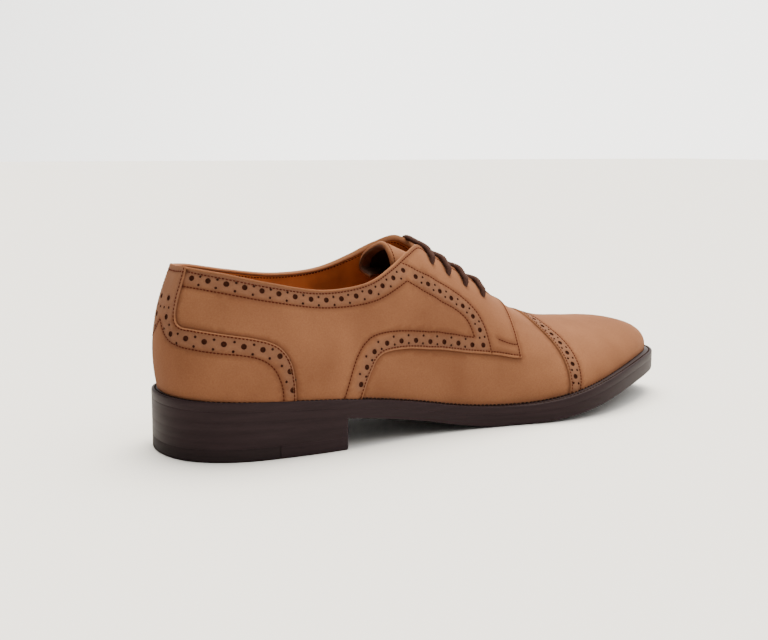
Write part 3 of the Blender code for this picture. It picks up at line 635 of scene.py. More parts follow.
class LeatherSheet:
    """One cut piece of leather in the flat map: its border, its punched holes and its sunk seams."""

    ROLL = [
        # share of the rolled edge's width, share of the height
        (0.0, -0.25),
        (0.06, 0.42),
        (0.22, 0.82),
        (0.55, 1.06),
        (1.0, 1.0),
    ]
    ROLL_WIDTH = 0.75
    # Depths under a hole's rim at the foot of its bevel, on its wall and at its bottom
    HOLE_DEPTHS = (0.07, 0.2, 0.62)
    # Depth and half width of the groove at a seam, then half widths of its painted shade, an edge's painted
    # shadow and a band
    GROOVE, GROOVE_HALF = 0.2, 0.5
    SHADE_HALF, SHADOW_HALF, BAND_HALF = 0.85, 0.8, 3.3
    LEATHER, RAW, EDGE = 0, 1, 2

    def __init__(self, rise, runs, seams=(), holes=(), bands=(), shadows=()):
        self.rise = rise
        self.map = []
        self.height = []
        self.tone = []
        self.faces = []
        self.kinds = []
        self.seams = [trace(seam, 0.5) for seam in seams]
        self.bands = [trace(band, 1.0) for band in bands]
        self.shadows = [trace(line, 0.5) for line in shadows]
        loop, widths = self.border(runs)
        inner = self.inset(loop, widths)
        rings, ring_sizes = self.punch(holes)
        self.fill(inner, rings, ring_sizes)
        self.roll(loop, inner, widths)
        self.sink(rings)
        self.finish()

    def border(self, runs):
        """The closed border, anticlockwise in the map, and the width of the rolled edge on each stretch."""
        points, widths = [], []
        for line, rolled in runs:
            run = trace(line, 1.3 if rolled else 1.8)
            points.append(run[:-1])
            widths += [self.ROLL_WIDTH if rolled else 0.0] * (len(run) - 1)
        loop, widths = np.concatenate(points), np.array(widths)
        flat = loop * MAP_SCALE
        area = (flat[:, 0] * np.roll(flat[:, 1], -1) - np.roll(flat[:, 0], -1) * flat[:, 1]).sum()
        if area < 0:
            loop = np.roll(loop[::-1], 1, axis=0)
            widths = widths[::-1]
        return loop, widths

    def inset(self, loop, widths):
        """The border moved in by the width of each rolled stretch."""
        skin = LAST_FORM.skin(LATERAL, loop[:, 0], loop[:, 1])
        out = LAST_FORM.normal(LATERAL, loop[:, 0], loop[:, 1])
        ahead = np.roll(skin, -1, axis=0) - skin
        left = np.cross(out, ahead)
        left /= np.linalg.norm(left, axis=1, keepdims=True)
        before, width_before = np.roll(left, 1, axis=0), np.roll(widths, 1)
        cosine = (before * left).sum(-1)
        straight = cosine > 0.99
        scale = np.where(straight, 1.0, 1 - cosine**2)
        a = np.where(straight, width_before / 2, (width_before - cosine * widths) / scale)
        b = np.where(straight, widths / 2, (widths - cosine * width_before) / scale)
        move = before * a[:, None] + left * b[:, None]
        length = np.linalg.norm(move, axis=1)
        move *= np.minimum(1, 1.6 * self.ROLL_WIDTH / np.maximum(length, 1e-9))[:, None]
        s, v = LAST_FORM.shift(loop[:, 0], loop[:, 1], move)
        s = np.where((loop[:, 0] <= 0) | (loop[:, 0] >= 1), loop[:, 0], np.clip(s, 0, 1))
        v = np.where((loop[:, 1] <= 0) | (loop[:, 1] >= 1), loop[:, 1], np.clip(v, 0, 1))
        still = length < 1e-6
        return np.where(still[:, None], loop, np.stack([s, v], -1))

    def punch(self, holes):
        """Rings of points round each hole, from its rim down to its bottom."""
        rings, sizes = [], []
        for centre_at, radius in holes:
            count = 14 if radius > 0.7 else 8
            angle = np.arange(count) * 2 * math.pi / count
            along, up = (d[0] for d in LAST_FORM.slopes(LATERAL, centre_at[None, 0], centre_at[None, 1]))
            first = along / np.linalg.norm(along)
            second = up - first * (up @ first)
            second /= np.linalg.norm(second)
            circle = np.cos(angle)[:, None] * first + np.sin(angle)[:, None] * second
            levels = []
            s, v = np.full(count, centre_at[0]), np.full(count, centre_at[1])
            for grow in (radius + 0.2, radius, radius - 0.05, radius - 0.08):
                levels.append(np.stack(LAST_FORM.shift(s, v, circle * grow), -1))
            rings.append((centre_at, levels))
            sizes.append(radius + 0.2)
        return rings, np.array(sizes)

    def seam_rows(self, flat_loop, rim, centres, sizes):
        """Points on and beside each seam in the flat map, clear of the border and of the holes."""
        rows = []
        for seam in self.seams + self.shadows:
            at, out = seam[::3], sideways(seam)[::3]
            for distance in (-0.62, 0.0, 0.62):
                moved = LAST_FORM.shift(at[:, 0], at[:, 1], out * distance)
                rows.append(np.stack(moved, -1) * MAP_SCALE)
        if not rows:
            return np.zeros((0, 2))
        rows = np.concatenate(rows)
        rows = rows[inside(flat_loop, rows) & (rows[:, 0] > 0.3) & (rows[:, 1] < SIDE_HEIGHT - 0.3)]
        rows = rows[far_from(rows, flat_loop, 0.45) & far_from(rows, rim, 0.3)]
        for centre_at, size in zip(centres, sizes):
            rows = rows[np.hypot(*(rows - centre_at).T) > size * 1.25]
        first = np.unique(np.round(rows / 0.35).astype(int), axis=0, return_index=True)[1]
        return rows[np.sort(first)]

    def grid_points(self, flat_loop, taken, centres, sizes):
        """Staggered points over the rest of the piece."""
        pitch = settings()[0].grid
        low, high = flat_loop.min(axis=0), flat_loop.max(axis=0)
        x, y = np.meshgrid(np.arange(low[0], high[0], pitch), np.arange(low[1], high[1], pitch * 0.87))
        x[1::2] += pitch / 2
        grid = np.stack([x.ravel(), y.ravel()], -1)
        grid = grid[inside(flat_loop, grid)]
        grid = grid[far_from(grid, taken, 0.45 * pitch)]
        for centre_at, size in zip(centres, sizes):
            grid = grid[np.hypot(*(grid - centre_at).T) > size + 0.5]
        return grid

    def fill(self, inner, rings, sizes):
        """Triangles over the whole piece, with rows of points along each seam and none over the holes."""
        flat_loop = inner * MAP_SCALE
        centres = np.array([c for c, _ in rings]).reshape(-1, 2) * MAP_SCALE
        rim = np.concatenate([levels[0] for _, levels in rings] or [np.zeros((0, 2))]) * MAP_SCALE
        rows = self.seam_rows(flat_loop, rim, centres, sizes)
        grid = self.grid_points(flat_loop, np.concatenate([flat_loop, rows, rim]), centres, sizes)
        corners = [flat_loop]
        edges = [(i, (i + 1) % len(flat_loop)) for i in range(len(flat_loop))]
        start = len(flat_loop)
        self.rim_start = []
        for _, levels in rings:
            count = len(levels[0])
            corners.append(levels[0] * MAP_SCALE)
            edges += [(start + i, start + (i + 1) % count) for i in range(count)]
            self.rim_start.append(start)
            start += count
        corners = np.concatenate([*corners, rows, grid])
        made = delaunay_2d_cdt([Vector(c) for c in corners.tolist()], edges, [], 1, 1e-5, True)
        verts, _, triangles, origins = made[:4]
        self.found = {}
        for new, olds in enumerate(origins):
            for old in olds:
                self.found[old] = new
        self.map = [np.array(v) / MAP_SCALE for v in verts]
        self.height = [self.rise] * len(verts)
        self.tone = [0.0] * len(verts)
        flat = np.array([tuple(v) for v in verts])
        for old in range(len(flat_loop)):
            self.map[self.found[old]] = inner[old]
        triangles = np.array([t for t in triangles if len(t) == 3])
        middles = flat[triangles].mean(axis=1)
        keep = inside(flat_loop, middles)
        for (_, levels), size in zip(rings, sizes):
            ring = levels[0] * MAP_SCALE
            close = np.hypot(*(middles - ring.mean(axis=0)).T) < 3 * size
            if close.any():
                chosen = np.flatnonzero(close)
                keep[chosen[inside(ring, middles[chosen])]] = False
        for triangle in triangles[keep]:
            self.faces.append(list(map(int, triangle)))
            self.kinds.append(self.LEATHER)

    def add(self, point, height, tone):
        """One more point of the piece, and its number."""
        self.map.append(np.asarray(point, float))
        self.height.append(height)
        self.tone.append(tone)
        return len(self.map) - 1

    def roll(self, loop, inner, widths):
        """The folded edge, from the leather below up and over to the piece's face."""
        moved = np.linalg.norm((loop - inner) * MAP_SCALE, axis=1) > 1e-6
        lines = []
        for share, up in self.ROLL[:-1]:
            line = []
            for i in range(len(loop)):
                if moved[i]:
                    point = loop[i] * (1 - share) + inner[i] * share
                    line.append(self.add(point, self.rise * up, 0.3))
                else:
                    line.append(self.found[i])
            lines.append(line)
        lines.append([self.found[i] for i in range(len(loop))])
        for i in np.flatnonzero(moved):
            self.tone[self.found[int(i)]] = 0.2
        for one, two in zip(lines, lines[1:]):
            for i in range(len(loop)):
                j = (i + 1) % len(loop)
                if widths[i] > 0:
                    face = list(dict.fromkeys([one[i], one[j], two[j], two[i]]))
                    if len(face) > 2:
                        self.faces.append(face)
                        self.kinds.append(self.EDGE)

    def sink(self, rings):
        """The rim, wall and bottom of each punched hole, with painted shade on its rim and inside it."""
        for (centre_at, levels), start in zip(rings, self.rim_start):
            count = len(levels[0])
            before = [self.found[start + i] for i in range(count)]
            # Painted shade: the rim darkens a little and the bevel below it fully, and the wall and bottom
            # take the dark hole finish
            for index in before:
                self.tone[index] = -0.25
            for level, depth in zip(levels[1:], self.HOLE_DEPTHS):
                line = [self.add(point, self.rise - depth, -1.0) for point in level]
                for i in range(count):
                    j = (i + 1) % count
                    self.faces.append([before[i], before[j], line[j], line[i]])
                    self.kinds.append(self.LEATHER if depth < 0.1 else self.RAW)
                before = line
            bottom = self.add(centre_at, self.rise - self.HOLE_DEPTHS[-1], -1.0)
            for i in range(count):
                self.faces.append([before[i], before[(i + 1) % count], bottom])
                self.kinds.append(self.RAW)

    def finish(self):
        """Seams sink into the leather with painted shade along them, bands get their own tone, and a painted
        soft shadow lies beside edges.
        """
        self.map = np.array(self.map)
        self.height = np.array(self.height, float)
        self.tone = np.array(self.tone, float)
        self.band = np.zeros(len(self.map))
        skin = LAST_FORM.skin(LATERAL, self.map[:, 0], self.map[:, 1])
        if self.seams:
            distance = distances(skin, self.seams)
            self.height -= self.GROOVE * np.exp(-((distance / self.GROOVE_HALF) ** 2))
            # Painted shade along each seam's groove
            self.tone -= 0.55 * np.exp(-((distance / self.SHADE_HALF) ** 2))
        if self.bands:
            distance = distances(skin, self.bands)
            self.band = 1 / (1 + np.exp((distance - self.BAND_HALF) * 3))
        if self.shadows:
            distance = distances(skin, self.shadows)
            # Painted shadow beside the edge of a piece that lies over this one
            self.tone -= 0.6 * np.exp(-((distance / self.SHADOW_HALF) ** 2))
        self.height += relief(self.map[:, 0], self.map[:, 1])


def distances(points, lines):
    """Distance from each point to the nearest of some traced lines, over the outer side's skin."""
    samples = np.concatenate([LAST_FORM.skin(LATERAL, line[:, 0], line[:, 1]) for line in lines])
    tree = KDTree(len(samples))
    for i, sample in enumerate(samples):
        tree.insert(sample, i)
    tree.balance()
    return np.array([tree.find(point)[2] for point in points])


def add_mesh(name, points, faces, materials, kinds=None, sharp=None, **values):
    """A smooth mesh object from points in millimetres of the shoe."""
    mesh = bpy.data.meshes.new(name)
    mesh.from_pydata(place(points).tolist(), [], [list(map(int, face)) for face in faces])
    for finish in materials:
        mesh.materials.append(finish)
    if kinds is not None:
        mesh.polygons.foreach_set("material_index", np.asarray(kinds, np.int32))
    for key, value in values.items():
        mesh.attributes.new(key, "FLOAT", "POINT").data.foreach_set("value", np.asarray(value, np.float32))
    mesh.shade_smooth()
    if sharp:
        mesh.set_sharp_from_angle(angle=math.radians(sharp))
    mesh.validate()
    made = bpy.data.objects.new(name, mesh)
    bpy.context.collection.objects.link(made)
    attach(made, "root")
    return made


def add_sheet(name, sheet, sides, materials):
    """The leather sheet laid over the last on one side, or on both and joined where they meet.
    At the feather line it turns down, out of sight behind the welt, with painted shade on the turned strip."""
    points, faces, kinds, tone, band = [], [], [], [], []
    first = {}
    for side in sides:
        s, v = sheet.map[:, 0], sheet.map[:, 1]
        laid = LAST_FORM.offset(side, s, v, sheet.height)
        shared = on_middle(s, v)
        index = np.zeros(len(s), int)
        for i in range(len(s)):
            if shared[i] and i in first:
                index[i] = first[i]
                continue
            index[i] = len(points)
            points.append(laid[i])
            tone.append(sheet.tone[i])
            band.append(sheet.band[i])
            if shared[i]:
                first[i] = index[i]
        low = {}
        for face, kind in zip(sheet.faces, sheet.kinds):
            turned = face if side == LATERAL else face[::-1]
            faces.append([index[i] for i in turned])
            kinds.append(kind)
        for face in sheet.faces:
            for a, b in zip(face, face[1:] + face[:1]):
                if v[a] <= 0 and v[b] <= 0:
                    for i in (a, b):
                        if i not in low:
                            low[i] = len(points)
                            points.append(laid[i] - np.array([0.0, 0.0, 1.2]))
                            # Painted shade on the strip that turns down behind the welt
                            tone.append(-0.6)
                            band.append(0.0)
                    strip = [index[b], index[a], low[a], low[b]]
                    faces.append(strip if side == LATERAL else strip[::-1])
                    kinds.append(sheet.LEATHER)
    return add_mesh(name, np.array(points), faces, materials, kinds, sharp=50, tone=tone, band=band)


def add_node(material, kind, links=(), **values):
    """One shader node with its settings, and links as (from socket, to input) pairs."""
    node = material.node_tree.nodes.new(kind)
    for name, value in values.items():
        if name.startswith("in_"):
            key = name[3:]
            node.inputs[int(key) if key.isdigit() else key.replace("_", " ")].default_value = value
        else:
            setattr(node, name, value)
    for source, target in links:
        key = int(target) if str(target).isdigit() else target
        material.node_tree.links.new(source, node.inputs[key])
    return node


def new_material(name, colour, roughness, specular):
    """A plain material and its shader."""
    made = bpy.data.materials.new(name)
    made.use_nodes = True
    shader = made.node_tree.nodes["Principled BSDF"]
    shader.inputs["Base Color"].default_value = colour
    shader.inputs["Roughness"].default_value = roughness
    shader.inputs["Specular IOR Level"].default_value = specular
    return made, shader


def ramp(material, source, stops):
    """A colour ramp from (place, colour) stops."""
    node = add_node(material, "ShaderNodeValToRGB", [(source, "Fac")])
    for element, (where, colour) in zip(node.color_ramp.elements, stops):
        element.position = where
        element.color = colour
    for where, colour in stops[2:]:
        node.color_ramp.elements.new(where).color = colour
    return node.outputs["Color"]


def features(size):
    """Scale of a texture whose features are about size millimetres across."""
    return 1 / (size * MM)


def brushed_nubuck(name, base, dark, edge, strap):
    """Calf leather with a buffed grain: no shine, soft clouds where the nap lies down, lighter folded edges,
    and painted shade where its tone attribute is below zero.
    The nap's fibres are finer than a pixel, so they are drawn 0.7 mm wide."""
    made, shader = new_material(name, linear(base), 0.9, specular=0.08)
    where = add_node(made, "ShaderNodeTexCoord").outputs["Object"]
    clouds = add_node(made, "ShaderNodeTexNoise", [(where, "Vector")], in_Scale=features(45.0), in_Detail=3.0,
                      in_Roughness=0.5, in_Distortion=0.3)
    body = ramp(made, clouds.outputs["Fac"], [(0.34, linear(dark)), (0.66, linear(base))])
    grain = add_node(made, "ShaderNodeTexNoise", [(where, "Vector")], in_Scale=features(0.7), in_Detail=2.0)
    speck = add_node(made, "ShaderNodeMix", [(body, 6), (grain.outputs["Fac"], 7)],
                     data_type="RGBA", blend_type="SOFT_LIGHT", in_0=0.22)
    tone = add_node(made, "ShaderNodeAttribute", attribute_name="tone").outputs["Fac"]
    light = add_node(made, "ShaderNodeMapRange", [(tone, "Value")])
    paler = add_node(made, "ShaderNodeMix", [(light.outputs["Result"], 0), (speck.outputs[2], 6)],
                     data_type="RGBA")
    paler.inputs[7].default_value = linear(edge)
    # Painted shade: where the tone attribute is below zero the colour darkens towards this deep brown
    shade = add_node(made, "ShaderNodeMapRange", [(tone, "Value")], in_From_Min=0.0, in_From_Max=-1.0)
    painted_shade = add_node(made, "ShaderNodeMix", [(shade.outputs["Result"], 0), (paler.outputs[2], 6)],
                      data_type="RGBA")
    painted_shade.inputs[7].default_value = linear("#38190E")
    band = add_node(made, "ShaderNodeAttribute", attribute_name="band").outputs["Fac"]
    amount = add_node(made, "ShaderNodeMapRange", [(band, "Value")], in_To_Max=0.45)
    greyer = add_node(made, "ShaderNodeMix", [(amount.outputs["Result"], 0), (painted_shade.outputs[2], 6)],
                      data_type="RGBA")
    greyer.inputs[7].default_value = linear(strap)
    made.node_tree.links.new(greyer.outputs[2], shader.inputs["Base Color"])
    fine = add_node(made, "ShaderNodeBump", [(grain.outputs["Fac"], "Height")], in_Strength=0.25,
                    in_Distance=0.00012)
    wide = add_node(made, "ShaderNodeTexNoise", [(where, "Vector")], in_Scale=features(6.0), in_Detail=3.0)
    bump = add_node(made, "ShaderNodeBump",
                    [(wide.outputs["Fac"], "Height"), (fine.outputs["Normal"], "Normal")],
                    in_Strength=0.3, in_Distance=0.0004)
    made.node_tree.links.new(bump.outputs["Normal"], shader.inputs["Normal"])
    return made


def lining_calf(name, colour, dark, roughness=0.5):
    """Vegetable tanned lining: smooth, warm and slightly glossy, and on the tongue darker and duller.
    Its pores are drawn 0.9 mm wide, to show."""
    made, shader = new_material(name, linear(colour), roughness, specular=0.15)
    where = add_node(made, "ShaderNodeTexCoord").outputs["Object"]
    clouds = add_node(made, "ShaderNodeTexNoise", [(where, "Vector")], in_Scale=features(16.0), in_Detail=3.0)
    body = ramp(made, clouds.outputs["Fac"], [(0.35, linear(dark)), (0.6, linear(colour))])
    made.node_tree.links.new(body, shader.inputs["Base Color"])
    pores = add_node(made, "ShaderNodeTexVoronoi", [(where, "Vector")], in_Scale=features(0.9))
    bump = add_node(made, "ShaderNodeBump", [(pores.outputs["Distance"], "Height")], in_Strength=0.25,
                    in_Distance=0.0001)
    made.node_tree.links.new(bump.outputs["Normal"], shader.inputs["Normal"])
    return made


def inked_edge(name, colour, roughness):
    """Leather edge, ground, inked and waxed: near black brown, a satin gloss broken by fine fibres.
    Moulded rubber looks the same from a step away, with a duller gloss."""
    made, shader = new_material(name, linear(colour), roughness, specular=0.04)
    where = add_node(made, "ShaderNodeTexCoord").outputs["Object"]
    stretched = add_node(made, "ShaderNodeMapping", [(where, "Vector")],
                         in_Scale=(features(40.0), features(40.0), features(2.4)))
    fibres = add_node(made, "ShaderNodeTexNoise", [(stretched.outputs["Vector"], "Vector")], in_Scale=1.0,
                      in_Detail=4.0)
    dark = tuple(c * 0.72 for c in linear(colour)[:3]) + (1.0,)
    body = ramp(made, fibres.outputs["Fac"], [(0.3, dark), (0.7, linear(colour))])
    made.node_tree.links.new(body, shader.inputs["Base Color"])
    gloss = add_node(made, "ShaderNodeMapRange", [(fibres.outputs["Fac"], "Value")],
                     in_To_Min=roughness - 0.06, in_To_Max=roughness + 0.1)
    made.node_tree.links.new(gloss.outputs["Result"], shader.inputs["Roughness"])
    bump = add_node(made, "ShaderNodeBump", [(fibres.outputs["Fac"], "Height")], in_Strength=0.2,
                    in_Distance=0.0002)
    made.node_tree.links.new(bump.outputs["Normal"], shader.inputs["Normal"])
    return made


def twisted_thread(name, colour):
    """Waxed thread or cord: dark and dull, with its ply drawn 0.4 mm wide."""
    made, shader = new_material(name, linear(colour), 0.7, specular=0.03)
    where = add_node(made, "ShaderNodeTexCoord").outputs["Object"]
    ply = add_node(made, "ShaderNodeTexNoise", [(where, "Vector")], in_Scale=features(0.4))
    dark = tuple(c * 0.6 for c in linear(colour)[:3]) + (1.0,)
    body = ramp(made, ply.outputs["Fac"], [(0.35, dark), (0.65, linear(colour))])
    made.node_tree.links.new(body, shader.inputs["Base Color"])
    return made


def raw_leather(name, colour):
    """Cut fibres inside a punched hole: dull, and painted dark for the shade deep in the hole."""
    made, shader = new_material(name, linear(colour), 0.95, specular=0.1)
    where = add_node(made, "ShaderNodeTexCoord").outputs["Object"]
    fibres = add_node(made, "ShaderNodeTexNoise", [(where, "Vector")], in_Scale=features(0.45), in_Detail=2.0)
    dark = tuple(c * 0.5 for c in linear(colour)[:3]) + (1.0,)
    body = ramp(made, fibres.outputs["Fac"], [(0.35, dark), (0.7, linear(colour))])
    made.node_tree.links.new(body, shader.inputs["Base Color"])
    return made


def material(name):
    """The named finish, made once."""
    if name in bpy.data.materials:
        return bpy.data.materials[name]
    leather, sole, _ = settings()
    edge, band = leather.nubuck_edge, leather.nubuck_band
    recipes = {
        "nubuck": lambda: brushed_nubuck(name, leather.nubuck, leather.nubuck_dark, edge, band),
        "nubuck_folded_edge": lambda: brushed_nubuck(name, edge, leather.nubuck, edge, band),
        # The hole finish is painted dark for the shade inside the holes
        "punched_hole": lambda: raw_leather(name, "#3A1B0E"),
        "upper_thread": lambda: twisted_thread(name, leather.thread),
        "lining_calf": lambda: lining_calf(name, leather.lining, "#925831"),
        "tongue_lining": lambda: lining_calf(name, "#5C3E2E", "#4A3024", 0.75),
        "tongue_backing": lambda: lining_calf(name, "#28130A", "#1C0D07", 0.8),
        "inked_sole_edge": lambda: inked_edge(name, sole.edge, 0.44),
        "moulded_rubber": lambda: inked_edge(name, sole.rubber, 0.55),
        "welt_thread": lambda: twisted_thread(name, "#2B1C18"),
        "waxed_cotton_cord": lambda: twisted_thread(name, sole.lace),
    }
    return recipes[name]()


def leather_finishes():
    """Finishes of a leather sheet, in the order of its kinds of face."""
    return [material("nubuck"), material("punched_hole"), material("nubuck_folded_edge")]


def stitch_template(length, width):
    """One stitch along X: a low rounded bar that dips at both ends."""
    # Place along the stitch, width and lift of each ring, as shares of the length and the width
    rings = [(-0.5, 0.35, -0.5), (-0.32, 0.9, 0.05), (0.0, 1.0, 0.22), (0.32, 0.9, 0.05), (0.5, 0.35, -0.5)]
    points, faces = [], []
    for where, wide, up in rings:
        for k in range(6):
            angle = k * math.pi / 3
            points.append((where * length, math.cos(angle) * wide * width / 2,
                           math.sin(angle) * wide * width * 0.42 + up * width * 0.5))
    for ring in range(len(rings) - 1):
        for k in range(6):
            a, b = ring * 6, ring * 6 + 6
            faces.append([a + k, a + (k + 1) % 6, b + (k + 1) % 6, b + k])
    last = (len(rings) - 1) * 6
    faces += [[0, 5, 4, 3, 2, 1], [last + k for k in range(6)]]
    return np.array(points), faces


def stitches(runs, pitch, length, width):
    """Points and faces of all the stitches on runs of (points, normals) in the shoe's millimetres."""
    template, faces = stitch_template(length, width)
    points, all_faces = [], []
    for path, normals in runs:
        run = run_of(path)
        count = max(1, round(run[-1] / pitch))
        at = (np.arange(count) + 0.5) * run[-1] / count
        where = read_path(path, run, at)
        up = read_path(normals, run, at)
        up /= np.linalg.norm(up, axis=1, keepdims=True)
        along = read_path(path, run, at + STITCH_REACH) - read_path(path, run, at - STITCH_REACH)
        along -= up * (along * up).sum(-1, keepdims=True)
        along /= np.linalg.norm(along, axis=1, keepdims=True)
        across = np.cross(up, along)
        for i in range(count):
            start = len(points) * len(template)
            points.append(where[i] + template @ np.stack([along[i], across[i], up[i]]))
            all_faces += [[start + k for k in face] for face in faces]
    return np.concatenate(points), all_faces


def seams_of_upper():
    """Each seam of the upper as (line, height of its piece)."""
    leather = settings()[0]
    quarter, counter, cap = leather.quarter_rise, leather.counter_rise, leather.cap_rise
    return [
        (COLLAR_HIGH, quarter),
        (COLLAR_LOW, quarter),
        (EYESTAY_OUTER, quarter),
        (EYESTAY_INNER, quarter),
        (BAND_HIGH, quarter),
        (beside(QUARTER_LOW, 1.35), quarter),
        (beside(QUARTER_FRONT, 1.3), quarter),
        (SHORT_SEAM, quarter),
        (beside(COUNTER_LINE, -1.0), counter),
        ([(0.0, 0.958), (0.02, 0.958), (0.04, 0.959), (0.061, 0.962)], counter),
        (COUNTER_LOW, counter),
        (beside(CAP_LINE, -1.05), cap),
        (CAP_FORE, cap),
    ]


def picked_seams(rise):
    """Lines of the seams on the pieces of one height."""
    return [line for line, height in seams_of_upper() if height == rise]


def punched(*names):
    """Holes of the named rows as (centre, radius), without those that would tear into another."""
    leather = settings()[0]
    holes = []
    for name in names:
        large, small = holes_along(name)
        holes += [(centre_at, leather.hole) for centre_at in large]
        holes += [(centre_at, leather.pinhole) for centre_at in small if 0.01 < centre_at[1] < 0.995]
    kept = []
    for centre_at, radius in holes:
        skin = LAST_FORM.skin(LATERAL, centre_at[0], centre_at[1])
        clear = all(np.linalg.norm(skin - other) > radius + size + LEATHER_BETWEEN for other, size in kept)
        if clear:
            kept.append((skin, radius))
            yield centre_at, radius


def tube(path, radius, sides, braid):
    """A closed tube round a path, with a braid worked into its surface."""
    path = np.asarray(path, float)
    along = np.gradient(path, axis=0)
    along /= np.linalg.norm(along, axis=1, keepdims=True)
    up = np.cross(along[0], (0.31, 0.87, 0.39))
    points = []
    run = run_of(path)
    angle = np.arange(sides) * 2 * math.pi / sides
    for i in range(len(path)):
        up = up - along[i] * (up @ along[i])
        up /= np.linalg.norm(up)
        across = np.cross(along[i], up)
        turn = run[i] * BRAID_TURN
        weave = np.abs(np.sin(2 * angle + turn)) * np.abs(np.sin(2 * angle - turn)) - 0.4
        size = (radius * (1 + braid * weave))[:, None]
        points.append(path[i] + np.cos(angle)[:, None] * size * up + np.sin(angle)[:, None] * size * across)
    faces = []
    for i in range(len(path) - 1):
        for k in range(sides):
            a, b = i * sides, (i + 1) * sides
            faces.append([a + k, a + (k + 1) % sides, b + (k + 1) % sides, b + k])
    last = (len(path) - 1) * sides
    faces += [list(range(sides))[::-1], [last + k for k in range(sides)]]
    return np.concatenate(points), faces


def smooth_path(points, pitch):
    """Points along the rounded curve through a route. Its knots stand a square root of the distance apart,
    which keeps the curve from swinging out between close points."""
    points = np.asarray(points, float)
    reach = np.append(0.0, np.cumsum(np.linalg.norm(np.diff(points, axis=0), axis=1) ** 0.5))
    fine = np.linspace(0, reach[-1], 40 * len(points))
    curve = np.stack([cubic(reach, line, np.gradient(line, reach), fine) for line in points.T], -1)
    run = run_of(curve)
    return read_path(curve, run, np.linspace(0, run[-1], max(2, round(run[-1] / pitch))))


def ring_points(inset, height, stations):
    """A closed ring inside the sole's edge by inset, which may be a function of the station."""
    plan = []
    for side, chosen in ((LATERAL, stations), (MEDIAL, stations[-2:0:-1])):
        depth = inset(chosen)[:, None] if callable(inset) else inset
        plan.append(OUTLINE.point(side, chosen) - OUTLINE.normal(side, chosen) * depth)
    plan = np.concatenate(plan)
    return np.column_stack([plan, height(plan[:, 0])])


def ring_bands(count, levels, closed=False):
    """Faces between rings of count points. A closed set also joins the last ring to the first."""
    faces = []
    for level in range(levels if closed else levels - 1):
        for i in range(count):
            j = (i + 1) % count
            a, b = level * count, (level + 1) % levels * count
            faces.append([a + i, a + j, b + j, b + i])
    return faces


def ring_lid(count, start):
    """Faces across a ring, from its outer side to its inner side."""
    half = count // 2
    faces = [[start, start + 1, start + count - 1]]
    for i in range(1, half - 1):
        faces.append([start + i, start + i + 1, start + count - i - 1, start + count - i])
    faces.append([start + half - 1, start + half, start + half + 1])
    return faces


class BROGUE_OT_upper(bpy.types.Operator):
    """Vamp, toe cap, counter and quarters: sheets of nubuck with folded edges and punched bands"""

    bl_idname = "brogue.upper"
    bl_label = "Leather pieces of the upper"

    def execute(self, context):
        leather = settings()[0]
        finishes = leather_finishes()
        foot = [(0.290, 0.0), (0.670, 0.0)]
        # The vamp gets painted shadows beside the quarter's and the toe cap's edges
        vamp = LeatherSheet(0.0, [
            (foot, False),
            ([(0.670, 0.0), (0.674, 0.30), (0.672, 0.45), (0.663, 0.70), (0.657, 1.0)], False),
            ([(0.657, 1.0), (0.6112, 1.0)], False),
            (VAMP_BACK[::-1], False),
        ], shadows=[beside(QUARTER_LOW, -0.4), beside(QUARTER_FRONT, -0.4), beside(CAP_LINE, 0.3)])
        piece = add_sheet("vamp", vamp, (LATERAL, MEDIAL), finishes)
        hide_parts("upper")
        cap = LeatherSheet(leather.cap_rise, [
            ([(0.665, 0.0), (1.0, 0.0)], False),
            ([(1.0, 0.0), (1.0, 1.0)], False),
            ([(1.0, 1.0), (0.652, 1.0)], False),
            (CAP_LINE[::-1], True),
        ], picked_seams(leather.cap_rise), list(punched("cap")), [CAP_HOLES])
        piece = add_sheet("toe_cap_nubuck", cap, (LATERAL, MEDIAL), finishes)
        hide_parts("toe_cap")
        back_strap = [[(station, 1.0), (station, 0.66)] for station in (0.0, 0.02, 0.04)]
        counter = LeatherSheet(leather.counter_rise, [
            ([(0.0, 0.0), (0.2105, 0.0)], False),
            (COUNTER_LINE[::-1], True),
            ([(0.064, 1.0), (0.0, 1.0)], False),
            ([(0.0, 1.0), (0.0, 0.0)], False),
        ], picked_seams(leather.counter_rise), list(punched("counter")), [COUNTER_HOLES, *back_strap])
        piece = add_sheet("counter_nubuck", counter, (LATERAL, MEDIAL), finishes)
        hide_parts("heel_counter")
        rows = list(punched("collar", "eyestay", "band"))
        rows += [(np.array(place_at), EYELET_RADIUS) for place_at in EYELETS]
        # The quarter gets a painted shadow beside the counter's edge
        quarter = LeatherSheet(leather.quarter_rise, [
            ([(0.2035, 0.0), (0.3095, 0.0)], False),
            (QUARTER_LOW, True),
            (QUARTER_FRONT, True),
            ([(0.607, 1.0), (0.046, 1.0)], False),
            (QUARTER_BACK, False),
        ], picked_seams(leather.quarter_rise), rows, [COLLAR_HOLES, EYESTAY_HOLES, BAND_HOLES],
            [beside(COUNTER_LINE, 0.35)])
        for side, node in ((LATERAL, "quarter_lateral"), (MEDIAL, "quarter_medial")):
            piece = add_sheet(node + "_nubuck", quarter, (side,), finishes)
            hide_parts(node)
        return {"FINISHED"}


